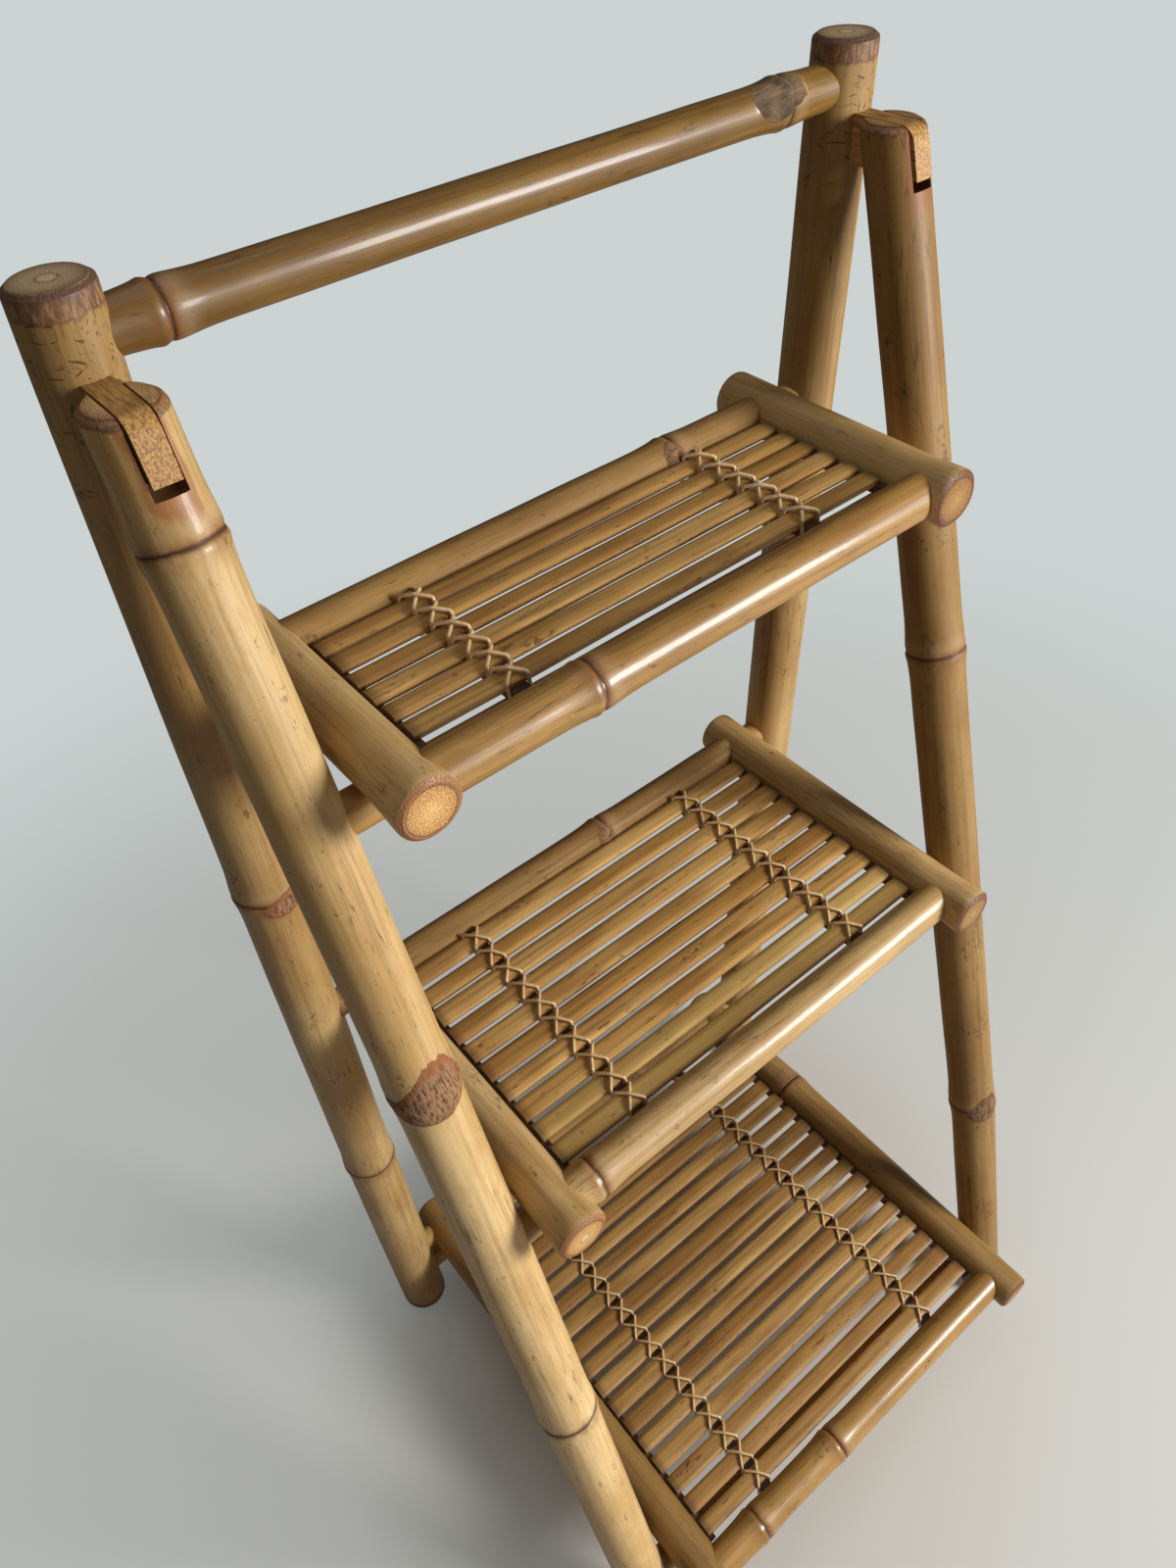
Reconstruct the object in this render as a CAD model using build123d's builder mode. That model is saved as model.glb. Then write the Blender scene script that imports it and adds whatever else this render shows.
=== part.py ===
from build123d import *
import math
import os
from typing import Callable, NamedTuple

# Folding ladder shelf in bamboo culms. Two leg frames hinge at the top, and three
# slatted shelves turn on the rear legs, rest on the front frame's crossbars and
# lift flat into the rear frame. Millimetres, floor at z = 0, front towards -Y.

os.makedirs("parts", exist_ok=True)

# Overall size and stance
overall_height = 920.0
overall_depth = 375.0
leg_spacing = 390.0
leg_diameter = 35.0
rear_lean = 37.4
foot_spread = 324.0
leg_top_round = 3.0

# Bamboo culms swell at the joints of the cane. Each leg's rings are shares of its height
ring_half_length = 6.0
ring_ridge = 1.2
ring_swell = 0.9
end_chamfer = 1.2
front_left_rings = (0.313, 0.630, 0.948)
front_right_rings = (0.237, 0.697)
rear_left_rings = (0.298, 0.630)
rear_right_rings = (0.326, 0.707)

# Top hinge: a flat tongue from the rear leg in a slot of the front leg
front_leg_drop = 31.0
hinge_drop = 11.5
fold_gap = 2.8
hinge_pin_diameter = 8.0
hinge_pin_recess = 1.5
tongue_thickness = 11.0
tongue_height = 22.5
tongue_nose_round = 9.0
tongue_setback = 1.3
tongue_seat = 23.0
slot_side_gap = 0.4
slot_depth_below_pin = 17.5
leg_rest_gap = 0.3

# Crosswise bars between the legs
handle_drop = 21.0
handle_diameter = 21.0
handle_ring_inset = 33.0
crossbar_diameter = 20.0
crossbar_rest_gap = 0.3
stretcher_height = 46.0
stretcher_diameter = 18.0
bar_tenon_diameter = 13.0
bar_tenon_depth = 14.0

# Shelf frames. A crosswise rail's rings are shares of the way from its middle to its end
side_rail_diameter = 29.0
side_rail_gap = 2.5
side_rail_first_ring = 8.0
side_rail_ring_spacing = 240.0
side_rail_end_clear = 40.0
front_rail_diameter = 24.0
rear_rail_diameter = 22.0
rail_tenon_diameter = 13.0
rail_tenon_depth = 15.0
pivot_diameter = 18.0
pivot_depth = 12.0

top_shelf_height = 739.0
top_shelf_reach = 135.5
top_shelf_overhang = 26.0
top_front_inset = 16.0
top_slat_pitch = 14.8
top_front_rings = (-0.42,)
top_rear_rings = (0.53,)

middle_shelf_height = 467.5
middle_shelf_reach = 215.5
middle_shelf_overhang = 22.0
middle_front_inset = 23.5
middle_slat_pitch = 16.7
middle_front_rings = (-0.85,)
middle_rear_rings = (0.19,)

bottom_shelf_height = 89.0
bottom_shelf_overhang = 21.0
bottom_front_inset = 20.5
bottom_slat_pitch = 17.1
bottom_front_rings = (-0.70, -0.20)
bottom_rear_rings = (0.36,)

# Slatted decks: half-round slats lashed to two battens, their ends on two ledges
deck_rise = 1.0
slat_share = 0.75
slat_edge = 2.0
slat_crown = 4.0
slat_end_gap = 0.4
batten_width = 11.0
batten_height = 7.0
batten_round = 2.0
batten_tenon_depth = 6.0
lash_row_spacing = 182.0
ledge_show = 5.0
ledge_set = 3.5
ledge_height = 5.0
ledge_end_gap = 1.5
lash_strand = 1.6
lash_ease = 0.2
lash_spread = 0.5
strand_faces = 6

# Fits
joint_clearance = 0.1
running_clearance = 0.1
pin_fit = 0.02
socket_end_gap = 0.5
trim = 20.0

# Derived positions
front_leg_height = overall_height - front_leg_drop
lash_gap = lash_strand + 2 * lash_ease
handle_height = overall_height - handle_drop
leg_radius = leg_diameter / 2
leg_x = leg_spacing / 2
leg_inner_x = leg_x - leg_radius
rear_tilt = math.atan2(rear_lean, overall_height)
rear_foot_y = overall_depth / 2 - leg_radius / math.cos(rear_tilt)
front_foot_y = rear_foot_y - foot_spread
rail_x = leg_inner_x - side_rail_gap - side_rail_diameter / 2
rail_inner_x = rail_x - side_rail_diameter / 2


def rear_axis_y(height):
    """Where the rear leg's axis stands at a height."""
    return rear_foot_y - rear_lean * height / overall_height


hinge_height = front_leg_height - hinge_drop
hinge_y = rear_axis_y(hinge_height) - (leg_diameter + fold_gap) / math.cos(rear_tilt)
front_tilt = math.atan2(hinge_y - front_foot_y, hinge_height)


def front_axis_y(height):
    """Where the front leg's axis stands at a height."""
    return front_foot_y + (hinge_y - front_foot_y) * height / hinge_height


class LegPair(NamedTuple):
    """A pair of legs: where their axes stand at a height, their top and their rings."""

    axis_y: Callable
    top: float
    rings: dict


rear_pair = LegPair(
    rear_axis_y, overall_height, {"left": rear_left_rings, "right": rear_right_rings}
)
front_pair = LegPair(
    front_axis_y, front_leg_height, {"left": front_left_rings, "right": front_right_rings}
)
sides = {"left": -1, "right": 1}


class Shelf(NamedTuple):
    """One shelf: its pivots at the rear legs and what hangs on its frame."""

    name: str
    height: float
    pivot_y: float
    front_y: float
    rear_y: float
    front_rail_y: float
    slat_pitch: float
    front_rings: tuple
    rear_rings: tuple


def shelf_at(name, height, reach, overhang, front_inset, pitch, front_rings, rear_rings):
    """A shelf whose side rails reach forward of the pivot and run on behind it."""
    pivot_y = rear_axis_y(height)
    front_y = pivot_y - reach
    return Shelf(
        name, height, pivot_y, front_y, pivot_y + overhang,
        front_y + front_inset, pitch, front_rings, rear_rings,
    )


bottom_shelf_reach = rear_axis_y(bottom_shelf_height) + overall_depth / 2
shelves = [
    shelf_at(
        "top", top_shelf_height, top_shelf_reach, top_shelf_overhang,
        top_front_inset, top_slat_pitch, top_front_rings, top_rear_rings,
    ),
    shelf_at(
        "middle", middle_shelf_height, middle_shelf_reach, middle_shelf_overhang,
        middle_front_inset, middle_slat_pitch, middle_front_rings, middle_rear_rings,
    ),
    shelf_at(
        "bottom", bottom_shelf_height, bottom_shelf_reach, bottom_shelf_overhang,
        bottom_front_inset, bottom_slat_pitch, bottom_front_rings, bottom_rear_rings,
    ),
]


def save(piece, name):
    """Label a finished piece and write it."""
    piece.part.label = name
    export_step(piece.part, f"parts/{name}.step")


def culm(start, end, diameter, rings):
    """A bamboo pole between two points, swollen at rings given as lengths along it."""
    start = Vector(*start)
    along = Vector(*end) - start
    radius = diameter / 2
    outline = [(0, 0), (radius - end_chamfer, 0), (radius, end_chamfer)]
    for ring in rings:
        outline += [
            (radius, ring - ring_half_length),
            (radius + ring_swell, ring - ring_ridge),
            (radius + ring_swell / 2, ring + ring_ridge),
            (radius, ring + ring_half_length),
        ]
    outline += [
        (radius, along.length - end_chamfer),
        (radius - end_chamfer, along.length),
        (0, along.length),
    ]
    base = Plane(origin=start, z_dir=along)
    section = Plane(origin=start, x_dir=base.x_dir, z_dir=-base.y_dir)
    with BuildPart() as pole:
        with BuildSketch(section):
            with BuildLine():
                Polyline(*outline, close=True)
            make_face()
        revolve(axis=Axis(start, along))
    return pole.part


def rod(start, end, diameter):
    """A plain round bar between two points."""
    along = Vector(*end) - Vector(*start)
    with BuildPart() as bar:
        with BuildSketch(Plane(origin=start, z_dir=along)):
            Circle(diameter / 2)
        extrude(amount=along.length)
    return bar.part


def leg_culm(pair, word, extra=0.0):
    """A leg's culm, longer than the leg at both ends."""
    x = sides[word] * leg_x
    low = Vector(x, pair.axis_y(-trim), -trim)
    high = Vector(x, pair.axis_y(pair.top + trim), pair.top + trim)
    slant = (high - low).length / (pair.top + 2 * trim)
    rings = [(share * pair.top + trim) * slant for share in pair.rings[word]]
    return culm(low, high, leg_diameter + 2 * extra, rings)


def inner_sockets(side):
    """The plane just inside a leg, from which its crosswise sockets are sunk."""
    return Plane(
        origin=(side * (leg_inner_x - side_rail_gap), 0, 0), x_dir=(0, 1, 0), z_dir=(side, 0, 0)
    )


def bar_between(pair, height, diameter, rings):
    """A crosswise bar coped to a pair of legs, with a round tenon at each end."""
    y = pair.axis_y(height)
    pole = culm((-leg_x, y, height), (leg_x, y, height), diameter, rings)
    tip = leg_inner_x + bar_tenon_depth
    tenon = rod((-tip, y, height), (tip, y, height), bar_tenon_diameter)
    legs = [leg_culm(pair, word, joint_clearance) for word in sides]
    with BuildPart() as bar:
        add(pole)
        add(legs, mode=Mode.SUBTRACT)
        add(tenon)
    return bar


# Rear frame
mortise_back_y = rear_axis_y(hinge_height) - leg_radius + tongue_seat
for word, side in sides.items():
    culm_of_leg = leg_culm(rear_pair, word)
    with BuildPart() as rear_leg:
        add(culm_of_leg)
        split(bisect_by=Plane.XY, keep=Keep.TOP)
        split(bisect_by=Plane.XY.offset(overall_height), keep=Keep.BOTTOM)
        fillet(rear_leg.edges().group_by(Axis.Z)[-1], radius=leg_top_round)
        with BuildSketch(inner_sockets(side)):
            for height in (handle_height, stretcher_height):
                with Locations((rear_axis_y(height), side * height)):
                    Circle(bar_tenon_diameter / 2 + joint_clearance)
        extrude(amount=side_rail_gap + bar_tenon_depth + socket_end_gap, mode=Mode.SUBTRACT)
        with BuildSketch(inner_sockets(side)):
            for shelf in shelves:
                with Locations((shelf.pivot_y, side * shelf.height)):
                    Circle(pivot_diameter / 2 + running_clearance)
        extrude(amount=side_rail_gap + pivot_depth + socket_end_gap, mode=Mode.SUBTRACT)
        with BuildSketch(Plane.YZ.offset(side * leg_x)):
            with Locations((mortise_back_y, front_leg_height - tongue_height / 2)):
                Rectangle(
                    mortise_back_y - hinge_y,
                    tongue_height + 2 * joint_clearance,
                    align=(Align.MAX, Align.CENTER),
                )
        extrude(
            amount=tongue_thickness / 2 + joint_clearance, both=True, mode=Mode.SUBTRACT
        )
    save(rear_leg, f"rear_leg_{word}")

handle_rings = [handle_ring_inset, leg_spacing - handle_ring_inset - ring_half_length]
handle_rail = bar_between(rear_pair, handle_height, handle_diameter, handle_rings)
save(handle_rail, "handle_rail")

rear_stretcher = bar_between(rear_pair, stretcher_height, stretcher_diameter, [])
save(rear_stretcher, "rear_stretcher")

# Hinge tongues, let into the rear legs and shaped to the front of the front legs
tongue_front = leg_radius - tongue_setback
tongue_low = front_leg_height - tongue_height
tongue_back_y = mortise_back_y - socket_end_gap
for word, side in sides.items():
    with BuildPart() as hinge_tongue:
        with BuildSketch(Plane.YZ.offset(side * leg_x)) as profile:
            with BuildLine():
                Polyline(
                    (front_axis_y(front_leg_height) - tongue_front / math.cos(front_tilt),
                     front_leg_height),
                    (tongue_back_y, front_leg_height),
                    (tongue_back_y, tongue_low),
                    (front_axis_y(tongue_low) - tongue_front / math.cos(front_tilt), tongue_low),
                    close=True,
                )
            make_face()
            nose = profile.vertices().group_by(Axis.Y)[-1].sort_by(Axis.X)[0]
            fillet(nose, radius=tongue_nose_round)
            with Locations((hinge_y, hinge_height)):
                Circle(hinge_pin_diameter / 2 + running_clearance, mode=Mode.SUBTRACT)
        extrude(amount=tongue_thickness / 2, both=True)
    save(hinge_tongue, f"hinge_tongue_{word}")

# Front frame
crossbar_heights = {
    shelf.name: shelf.height
    - side_rail_diameter / 2
    - crossbar_rest_gap
    - crossbar_diameter / 2
    for shelf in shelves
}
for word, side in sides.items():
    culm_of_leg = leg_culm(front_pair, word)
    rest_face = leg_culm(rear_pair, word, leg_rest_gap)
    along_leg = Plane(
        origin=(side * leg_x, hinge_y, hinge_height),
        x_dir=(1, 0, 0),
        z_dir=(0, math.sin(front_tilt), math.cos(front_tilt)),
    )
    with BuildPart() as front_leg:
        add(culm_of_leg)
        split(bisect_by=Plane.XY, keep=Keep.TOP)
        split(bisect_by=Plane.XY.offset(front_leg_height), keep=Keep.BOTTOM)
        fillet(front_leg.edges().group_by(Axis.Z)[-1], radius=leg_top_round)
        add(rest_face, mode=Mode.SUBTRACT)
        with BuildSketch(along_leg.offset(-slot_depth_below_pin)):
            Rectangle(tongue_thickness + 2 * slot_side_gap, 2 * leg_diameter)
        extrude(amount=slot_depth_below_pin + leg_diameter, mode=Mode.SUBTRACT)
        with BuildSketch(Plane.YZ.offset(side * leg_x)):
            with Locations((hinge_y, hinge_height)):
                Circle(hinge_pin_diameter / 2 + pin_fit)
        extrude(amount=leg_diameter, both=True, mode=Mode.SUBTRACT)
        with BuildSketch(inner_sockets(side)):
            for height in crossbar_heights.values():
                with Locations((front_axis_y(height), side * height)):
                    Circle(bar_tenon_diameter / 2 + joint_clearance)
        extrude(amount=side_rail_gap + bar_tenon_depth + socket_end_gap, mode=Mode.SUBTRACT)
    save(front_leg, f"front_leg_{word}")

    with BuildPart() as hinge_pin:
        with BuildSketch(Plane.YZ.offset(side * leg_x)):
            with Locations((hinge_y, hinge_height)):
                Circle(hinge_pin_diameter / 2)
        extrude(amount=leg_radius - hinge_pin_recess, both=True)
    save(hinge_pin, f"hinge_pin_{word}")

for name, height in crossbar_heights.items():
    crossbar = bar_between(front_pair, height, crossbar_diameter, [])
    save(crossbar, f"{name}_crossbar")


def side_rail_culm(shelf, side, extra=0.0):
    """A shelf's side rail, flared by the ring at its front end."""
    length = shelf.rear_y - shelf.front_y
    count = max(0, int((length - side_rail_end_clear - side_rail_first_ring)
                       // side_rail_ring_spacing) + 1)
    rings = [side_rail_first_ring + side_rail_ring_spacing * n for n in range(count)]
    x = side * rail_x
    return culm(
        (x, shelf.front_y, shelf.height), (x, shelf.rear_y, shelf.height),
        side_rail_diameter + 2 * extra, rings,
    )


def rail_across(shelf, y, diameter, rings, core_diameter, core_tip):
    """A crosswise rail coped to the side rails, with a round core beyond each end."""
    z = shelf.height
    ring_lengths = [rail_x * (1 + share) for share in rings]
    pole = culm((-rail_x, y, z), (rail_x, y, z), diameter, ring_lengths)
    core = rod((-core_tip, y, z), (core_tip, y, z), core_diameter)
    side_rails = [side_rail_culm(shelf, side, joint_clearance) for side in sides.values()]
    battens = lash_battens(shelf, joint_clearance)
    with BuildPart() as rail:
        add(pole)
        add(side_rails, mode=Mode.SUBTRACT)
        add(core)
        add(battens, mode=Mode.SUBTRACT)
    return rail


def lash_battens(shelf, extra=0.0):
    """The two battens under the slats, housed in the front and rear rails."""
    front = shelf.front_rail_y + front_rail_diameter / 2 - batten_tenon_depth - extra
    rear = shelf.pivot_y - rear_rail_diameter / 2 + batten_tenon_depth + extra
    z = shelf.height + deck_rise - batten_height / 2
    bars = []
    for x in (-lash_row_spacing / 2, lash_row_spacing / 2):
        with BuildPart() as bar:
            with BuildSketch(Plane(origin=(x, front, z), x_dir=(1, 0, 0), z_dir=(0, 1, 0))):
                RectangleRounded(batten_width + 2 * extra, batten_height + 2 * extra, batten_round)
            extrude(amount=rear - front)
        bars.append(bar.part)
    return bars


def slat_middles(shelf):
    """Where the middles of the slats lie, from the rear rail forwards."""
    width = slat_share * shelf.slat_pitch
    first = shelf.pivot_y - rear_rail_diameter / 2 - ring_swell - lash_gap - width / 2
    last = shelf.front_rail_y + front_rail_diameter / 2 + lash_gap + width / 2
    count = int((first - last) / shelf.slat_pitch) + 1
    return [first - shelf.slat_pitch * number for number in range(count)]


def lash_corners(shelf):
    """Where a lashing goes down beside the slats: behind, between and before them."""
    middles = slat_middles(shelf)
    reach = slat_share * shelf.slat_pitch / 2 + lash_gap / 2
    between = [(rear + front) / 2 for rear, front in zip(middles, middles[1:])]
    return [middles[0] + reach] + between + [middles[-1] - reach]


def lash_route(shelf, hand, layer):
    """Corners of one lashing strand: over each slat on the slant, under the batten."""
    step = layer * (lash_strand + lash_spread)
    half_width = batten_width / 2 + lash_ease + lash_strand / 2 + step
    deck = shelf.height + deck_rise
    over = deck + slat_crown + lash_ease + lash_strand / 2 + step
    under = deck - batten_height - lash_ease - lash_strand / 2 - step
    corners = lash_corners(shelf)
    route = []
    for rear, front in zip(corners, corners[1:]):
        route += [
            Vector(-hand * half_width, rear, under),
            Vector(-hand * half_width, rear, over),
            Vector(hand * half_width, front, over),
            Vector(hand * half_width, front, under),
        ]
    return route


# Every loop of a lashing is alike, so its gaps are measured on the first three
measured_corners = 12


def lash_points(route):
    """Points along a strand, about one strand apart, with their length from its start."""
    points = []
    travelled = 0.0
    for start, end in zip(route, route[1:]):
        run = end - start
        steps = max(1, round(run.length / lash_strand))
        points += [(travelled + run.length * n / steps, start + run * (n / steps))
                   for n in range(steps)]
        travelled += run.length
    return points


def least_gap(points, others, apart):
    """The least clear space between strand points that lie well apart along a strand."""
    return min(
        (place - other_place).length - lash_strand
        for travelled, place in points
        for other_travelled, other_place in others
        if abs(travelled - other_travelled) > apart
    )


def lash_strand_along(route):
    """One unbroken strand of cane along its route."""
    with BuildPart() as strand:
        with BuildLine() as path:
            Polyline(*route)
        with BuildSketch(Plane(origin=route[0], z_dir=route[1] - route[0])):
            RegularPolygon(lash_strand / 2, strand_faces)
        sweep(path=path.line, transition=Transition.RIGHT)
    return strand.part


def slat_outline(width):
    """End outline of a split slat, flat side down and crowned above."""
    with BuildSketch() as outline:
        with BuildLine():
            Polyline(
                (-width / 2, slat_edge), (-width / 2, 0), (width / 2, 0), (width / 2, slat_edge)
            )
            ThreePointArc((width / 2, slat_edge), (0, slat_crown), (-width / 2, slat_edge))
        make_face()
    return outline.sketch


# Shelves
for shelf in shelves:
    prefix = f"{shelf.name}_shelf"
    deck = shelf.height + deck_rise
    ledge_rear = shelf.pivot_y - rear_rail_diameter / 2 - ledge_end_gap
    ledge_front = shelf.front_rail_y + front_rail_diameter / 2 + ledge_end_gap
    ledge_middle = (ledge_rear + ledge_front) / 2
    ledge_length = ledge_rear - ledge_front

    for word, side in sides.items():
        pole = side_rail_culm(shelf, side)
        inside = Plane(
            origin=(side * (rail_inner_x - ledge_show), 0, 0), x_dir=(0, 1, 0), z_dir=(side, 0, 0)
        )
        with BuildPart() as side_rail:
            add(pole)
            with BuildSketch(inside):
                with Locations((shelf.front_rail_y, side * shelf.height)):
                    Circle(rail_tenon_diameter / 2 + joint_clearance)
            extrude(amount=ledge_show + rail_tenon_depth + socket_end_gap, mode=Mode.SUBTRACT)
            with BuildSketch(inside):
                with Locations((shelf.pivot_y, side * shelf.height)):
                    Circle(pivot_diameter / 2 + joint_clearance)
            extrude(amount=2 * side_rail_diameter, mode=Mode.SUBTRACT)
            with BuildSketch(inside):
                with Locations((ledge_middle, side * (deck - ledge_height / 2))):
                    Rectangle(
                        ledge_length + 2 * joint_clearance, ledge_height + 2 * joint_clearance
                    )
            extrude(amount=ledge_show + ledge_set + joint_clearance, mode=Mode.SUBTRACT)
        save(side_rail, f"{prefix}_side_rail_{word}")

        with BuildPart() as ledge:
            with BuildSketch(inside):
                with Locations((ledge_middle, side * (deck - ledge_height / 2))):
                    Rectangle(ledge_length, ledge_height)
            extrude(amount=ledge_show + ledge_set)
        save(ledge, f"{prefix}_ledge_{word}")

    front_rail = rail_across(
        shelf, shelf.front_rail_y, front_rail_diameter, shelf.front_rings,
        rail_tenon_diameter, rail_inner_x + rail_tenon_depth,
    )
    save(front_rail, f"{prefix}_front_rail")

    rear_rail = rail_across(
        shelf, shelf.pivot_y, rear_rail_diameter, shelf.rear_rings,
        pivot_diameter, leg_inner_x + pivot_depth,
    )
    save(rear_rail, f"{prefix}_rear_rail")

    battens = lash_battens(shelf)
    for word, bar in zip(sides, battens):
        with BuildPart() as batten:
            add(bar)
        save(batten, f"{prefix}_batten_{word}")

    slat_end = slat_outline(slat_share * shelf.slat_pitch)
    with BuildPart() as slats:
        with BuildSketch(Plane.YZ):
            with Locations(*[(middle, deck) for middle in slat_middles(shelf)]):
                add(slat_end)
        extrude(amount=rail_inner_x - ring_swell - slat_end_gap, both=True)
    save(slats, f"{prefix}_slats")

    inner_route = lash_route(shelf, 1, 0)
    outer_route = lash_route(shelf, -1, 1)
    inner_points = lash_points(inner_route[:measured_corners])
    outer_points = lash_points(outer_route[:measured_corners])
    print(
        prefix, "lashing gaps, inner and outer strand to itself, and between them:",
        round(least_gap(inner_points, inner_points, 4 * lash_strand), 2),
        round(least_gap(outer_points, outer_points, 4 * lash_strand), 2),
        round(least_gap(inner_points, outer_points, -1), 2),
    )
    strands = [lash_strand_along(inner_route), lash_strand_along(outer_route)]
    for word, side in sides.items():
        with BuildPart() as lashing:
            with Locations((side * lash_row_spacing / 2, 0, 0)):
                add(strands)
        save(lashing, f"{prefix}_lashing_{word}")
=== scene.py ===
# %% [markdown]
# # A folding ladder shelf in varnished bamboo
# The real shelf is two pairs of bamboo legs, hinged at the top, with three slatted
# decks between them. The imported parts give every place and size. This lesson grows
# natural canes, slats and lashings round those parts and gives each one its finish.

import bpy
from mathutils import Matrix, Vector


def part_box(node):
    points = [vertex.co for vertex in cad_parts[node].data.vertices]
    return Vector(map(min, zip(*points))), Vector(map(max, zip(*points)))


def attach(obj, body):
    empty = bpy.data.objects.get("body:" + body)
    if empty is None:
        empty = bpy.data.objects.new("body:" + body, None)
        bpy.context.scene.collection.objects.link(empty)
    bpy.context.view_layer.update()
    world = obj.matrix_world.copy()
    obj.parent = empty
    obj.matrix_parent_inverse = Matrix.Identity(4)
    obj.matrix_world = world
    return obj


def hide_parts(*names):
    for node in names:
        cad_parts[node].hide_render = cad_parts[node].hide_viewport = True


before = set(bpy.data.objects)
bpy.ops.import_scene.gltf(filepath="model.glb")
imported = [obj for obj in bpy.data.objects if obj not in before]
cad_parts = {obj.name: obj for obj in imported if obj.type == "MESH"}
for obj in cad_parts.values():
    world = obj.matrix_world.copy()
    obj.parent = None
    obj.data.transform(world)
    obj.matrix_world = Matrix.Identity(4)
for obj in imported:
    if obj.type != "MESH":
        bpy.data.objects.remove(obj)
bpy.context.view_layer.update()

import math

import bmesh
import bpy
from mathutils import Matrix, Vector

print("CAD nodes:", len(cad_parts))

# %% [markdown]
# ## The camera
# The photograph looks down on the shelf from in front of its left side. A camera is
# a lens and a frame of three directions, so these are written straight into the
# camera's matrix, and nothing has to be aimed by eye.

# %% Camera
camera_place = Vector((-0.29503, -0.28554, 1.06067))
camera_right = Vector((0.772061, -0.632881, -0.058168))
camera_up = Vector((0.481022, 0.522073, 0.704313))
camera_back = Vector((-0.415378, -0.571753, 0.707502))
photo_height = 1600
focal_pixels = 1173.084

lens = bpy.data.cameras.new("photo_camera")
lens.sensor_width = 36.0
lens.lens = lens.sensor_width * focal_pixels / photo_height
lens.clip_start = 0.01
camera = bpy.data.objects.new("photo_camera", lens)
columns = Matrix((camera_right, camera_up, camera_back)).transposed().to_4x4()
camera.matrix_world = Matrix.Translation(camera_place) @ columns
bpy.context.scene.collection.objects.link(camera)
bpy.context.scene.camera = camera
bpy.context.scene.view_settings.view_transform = "Standard"
print("lens:", round(lens.lens, 2), "mm")

# %% [markdown]
# ## Nodes written as sums
# Materials and Geometry Nodes are both trees of nodes. Wiring every Math node by hand
# hides the idea, so one small class lets a socket stand in an ordinary Python
# expression, and one method makes any other node from its type, settings and sockets.

# %% Expressions for node trees
class Term:
    """A socket in an expression: every operator adds a Math node."""

    def __init__(self, graph, socket):
        self.graph = graph
        self.socket = socket

    def other(self, name):
        """Another output of the same node."""
        return Term(self.graph, pick(self.socket.node.outputs, name))

    def __add__(self, value):
        return self.graph.math("ADD", self, value)

    def __sub__(self, value):
        return self.graph.math("SUBTRACT", self, value)

    def __rsub__(self, value):
        return self.graph.math("SUBTRACT", value, self)

    def __mul__(self, value):
        return self.graph.math("MULTIPLY", self, value)

    def __truediv__(self, value):
        return self.graph.math("DIVIDE", self, value)

    def __abs__(self):
        return self.graph.math("ABSOLUTE", self)

    def __gt__(self, value):
        return self.graph.math("GREATER_THAN", self, value)

    def __lt__(self, value):
        return self.graph.math("LESS_THAN", self, value)

    __radd__ = __add__
    __rmul__ = __mul__


def pick(sockets, key):
    """A socket by its number or its name, among those in use."""
    in_use = [socket for socket in sockets if socket.enabled]
    if isinstance(key, int):
        return in_use[key]
    return next(socket for socket in in_use if socket.name == key)


class Graph:
    """A node tree that is written as expressions."""

    def __init__(self, tree):
        self.tree = tree

    def put(self, socket, value):
        if isinstance(value, Term):
            self.tree.links.new(value.socket, socket)
        else:
            socket.default_value = value

    def node(self, kind, settings=None, sockets=None, out=0):
        """A node of a kind: its settings first, then its sockets' values or links."""
        made = self.tree.nodes.new(kind)
        for name, value in (settings or {}).items():
            if name == "stops":
                while len(made.color_ramp.elements) < len(value):
                    made.color_ramp.elements.new(1.0)
                for element, (place, shade) in zip(made.color_ramp.elements, value):
                    element.position = place
                    element.color = shade
            elif name == "choices":
                while len(made.index_switch_items) < value:
                    made.index_switch_items.new()
            else:
                setattr(made, name, value)
        for key, value in (sockets or {}).items():
            self.put(pick(made.inputs, key), value)
        return Term(self, pick(made.outputs, out))

    def math(self, operation, *values):
        return self.node("ShaderNodeMath", {"operation": operation}, dict(enumerate(values)))

    def vector(self, operation, *values, out=0):
        settings = {"operation": operation}
        return self.node("ShaderNodeVectorMath", settings, dict(enumerate(values)), out)

    def scaled(self, vector, factor):
        return self.node(
            "ShaderNodeVectorMath", {"operation": "SCALE"}, {0: vector, "Scale": factor}
        )

    def dot(self, one, two):
        return self.vector("DOT_PRODUCT", one, two, out="Value")

    def parts(self, vector):
        first = self.node("ShaderNodeSeparateXYZ", None, {0: vector})
        return first, first.other("Y"), first.other("Z")

    def joined(self, x, y, z):
        return self.node("ShaderNodeCombineXYZ", None, {0: x, 1: y, 2: z})

    def smooth(self, value, low, high):
        """0 below low, 1 above high and an S curve between."""
        return self.node(
            "ShaderNodeMapRange",
            {"interpolation_type": "SMOOTHSTEP"},
            {"Value": value, "From Min": low, "From Max": high},
        )

    def hump(self, distance, width):
        """A bell of height 1 over distance 0."""
        share = distance / width
        return self.math("EXPONENT", share * share * -1.0)

    def noise(self, vector, detail=2.0, roughness=0.5):
        sockets = {"Vector": vector, "Scale": 1.0, "Detail": detail, "Roughness": roughness}
        return self.node("ShaderNodeTexNoise", None, sockets)


# %% [markdown]
# ## Growing a piece
# Each tree is a recipe with named inputs. An empty mesh gets the tree as a modifier,
# its inputs are set by their identifiers, and the result is kept as a plain mesh. The
# modifier could stay live, but a plain mesh rides on its body like any other object,
# and an export keeps all of it.

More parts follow.
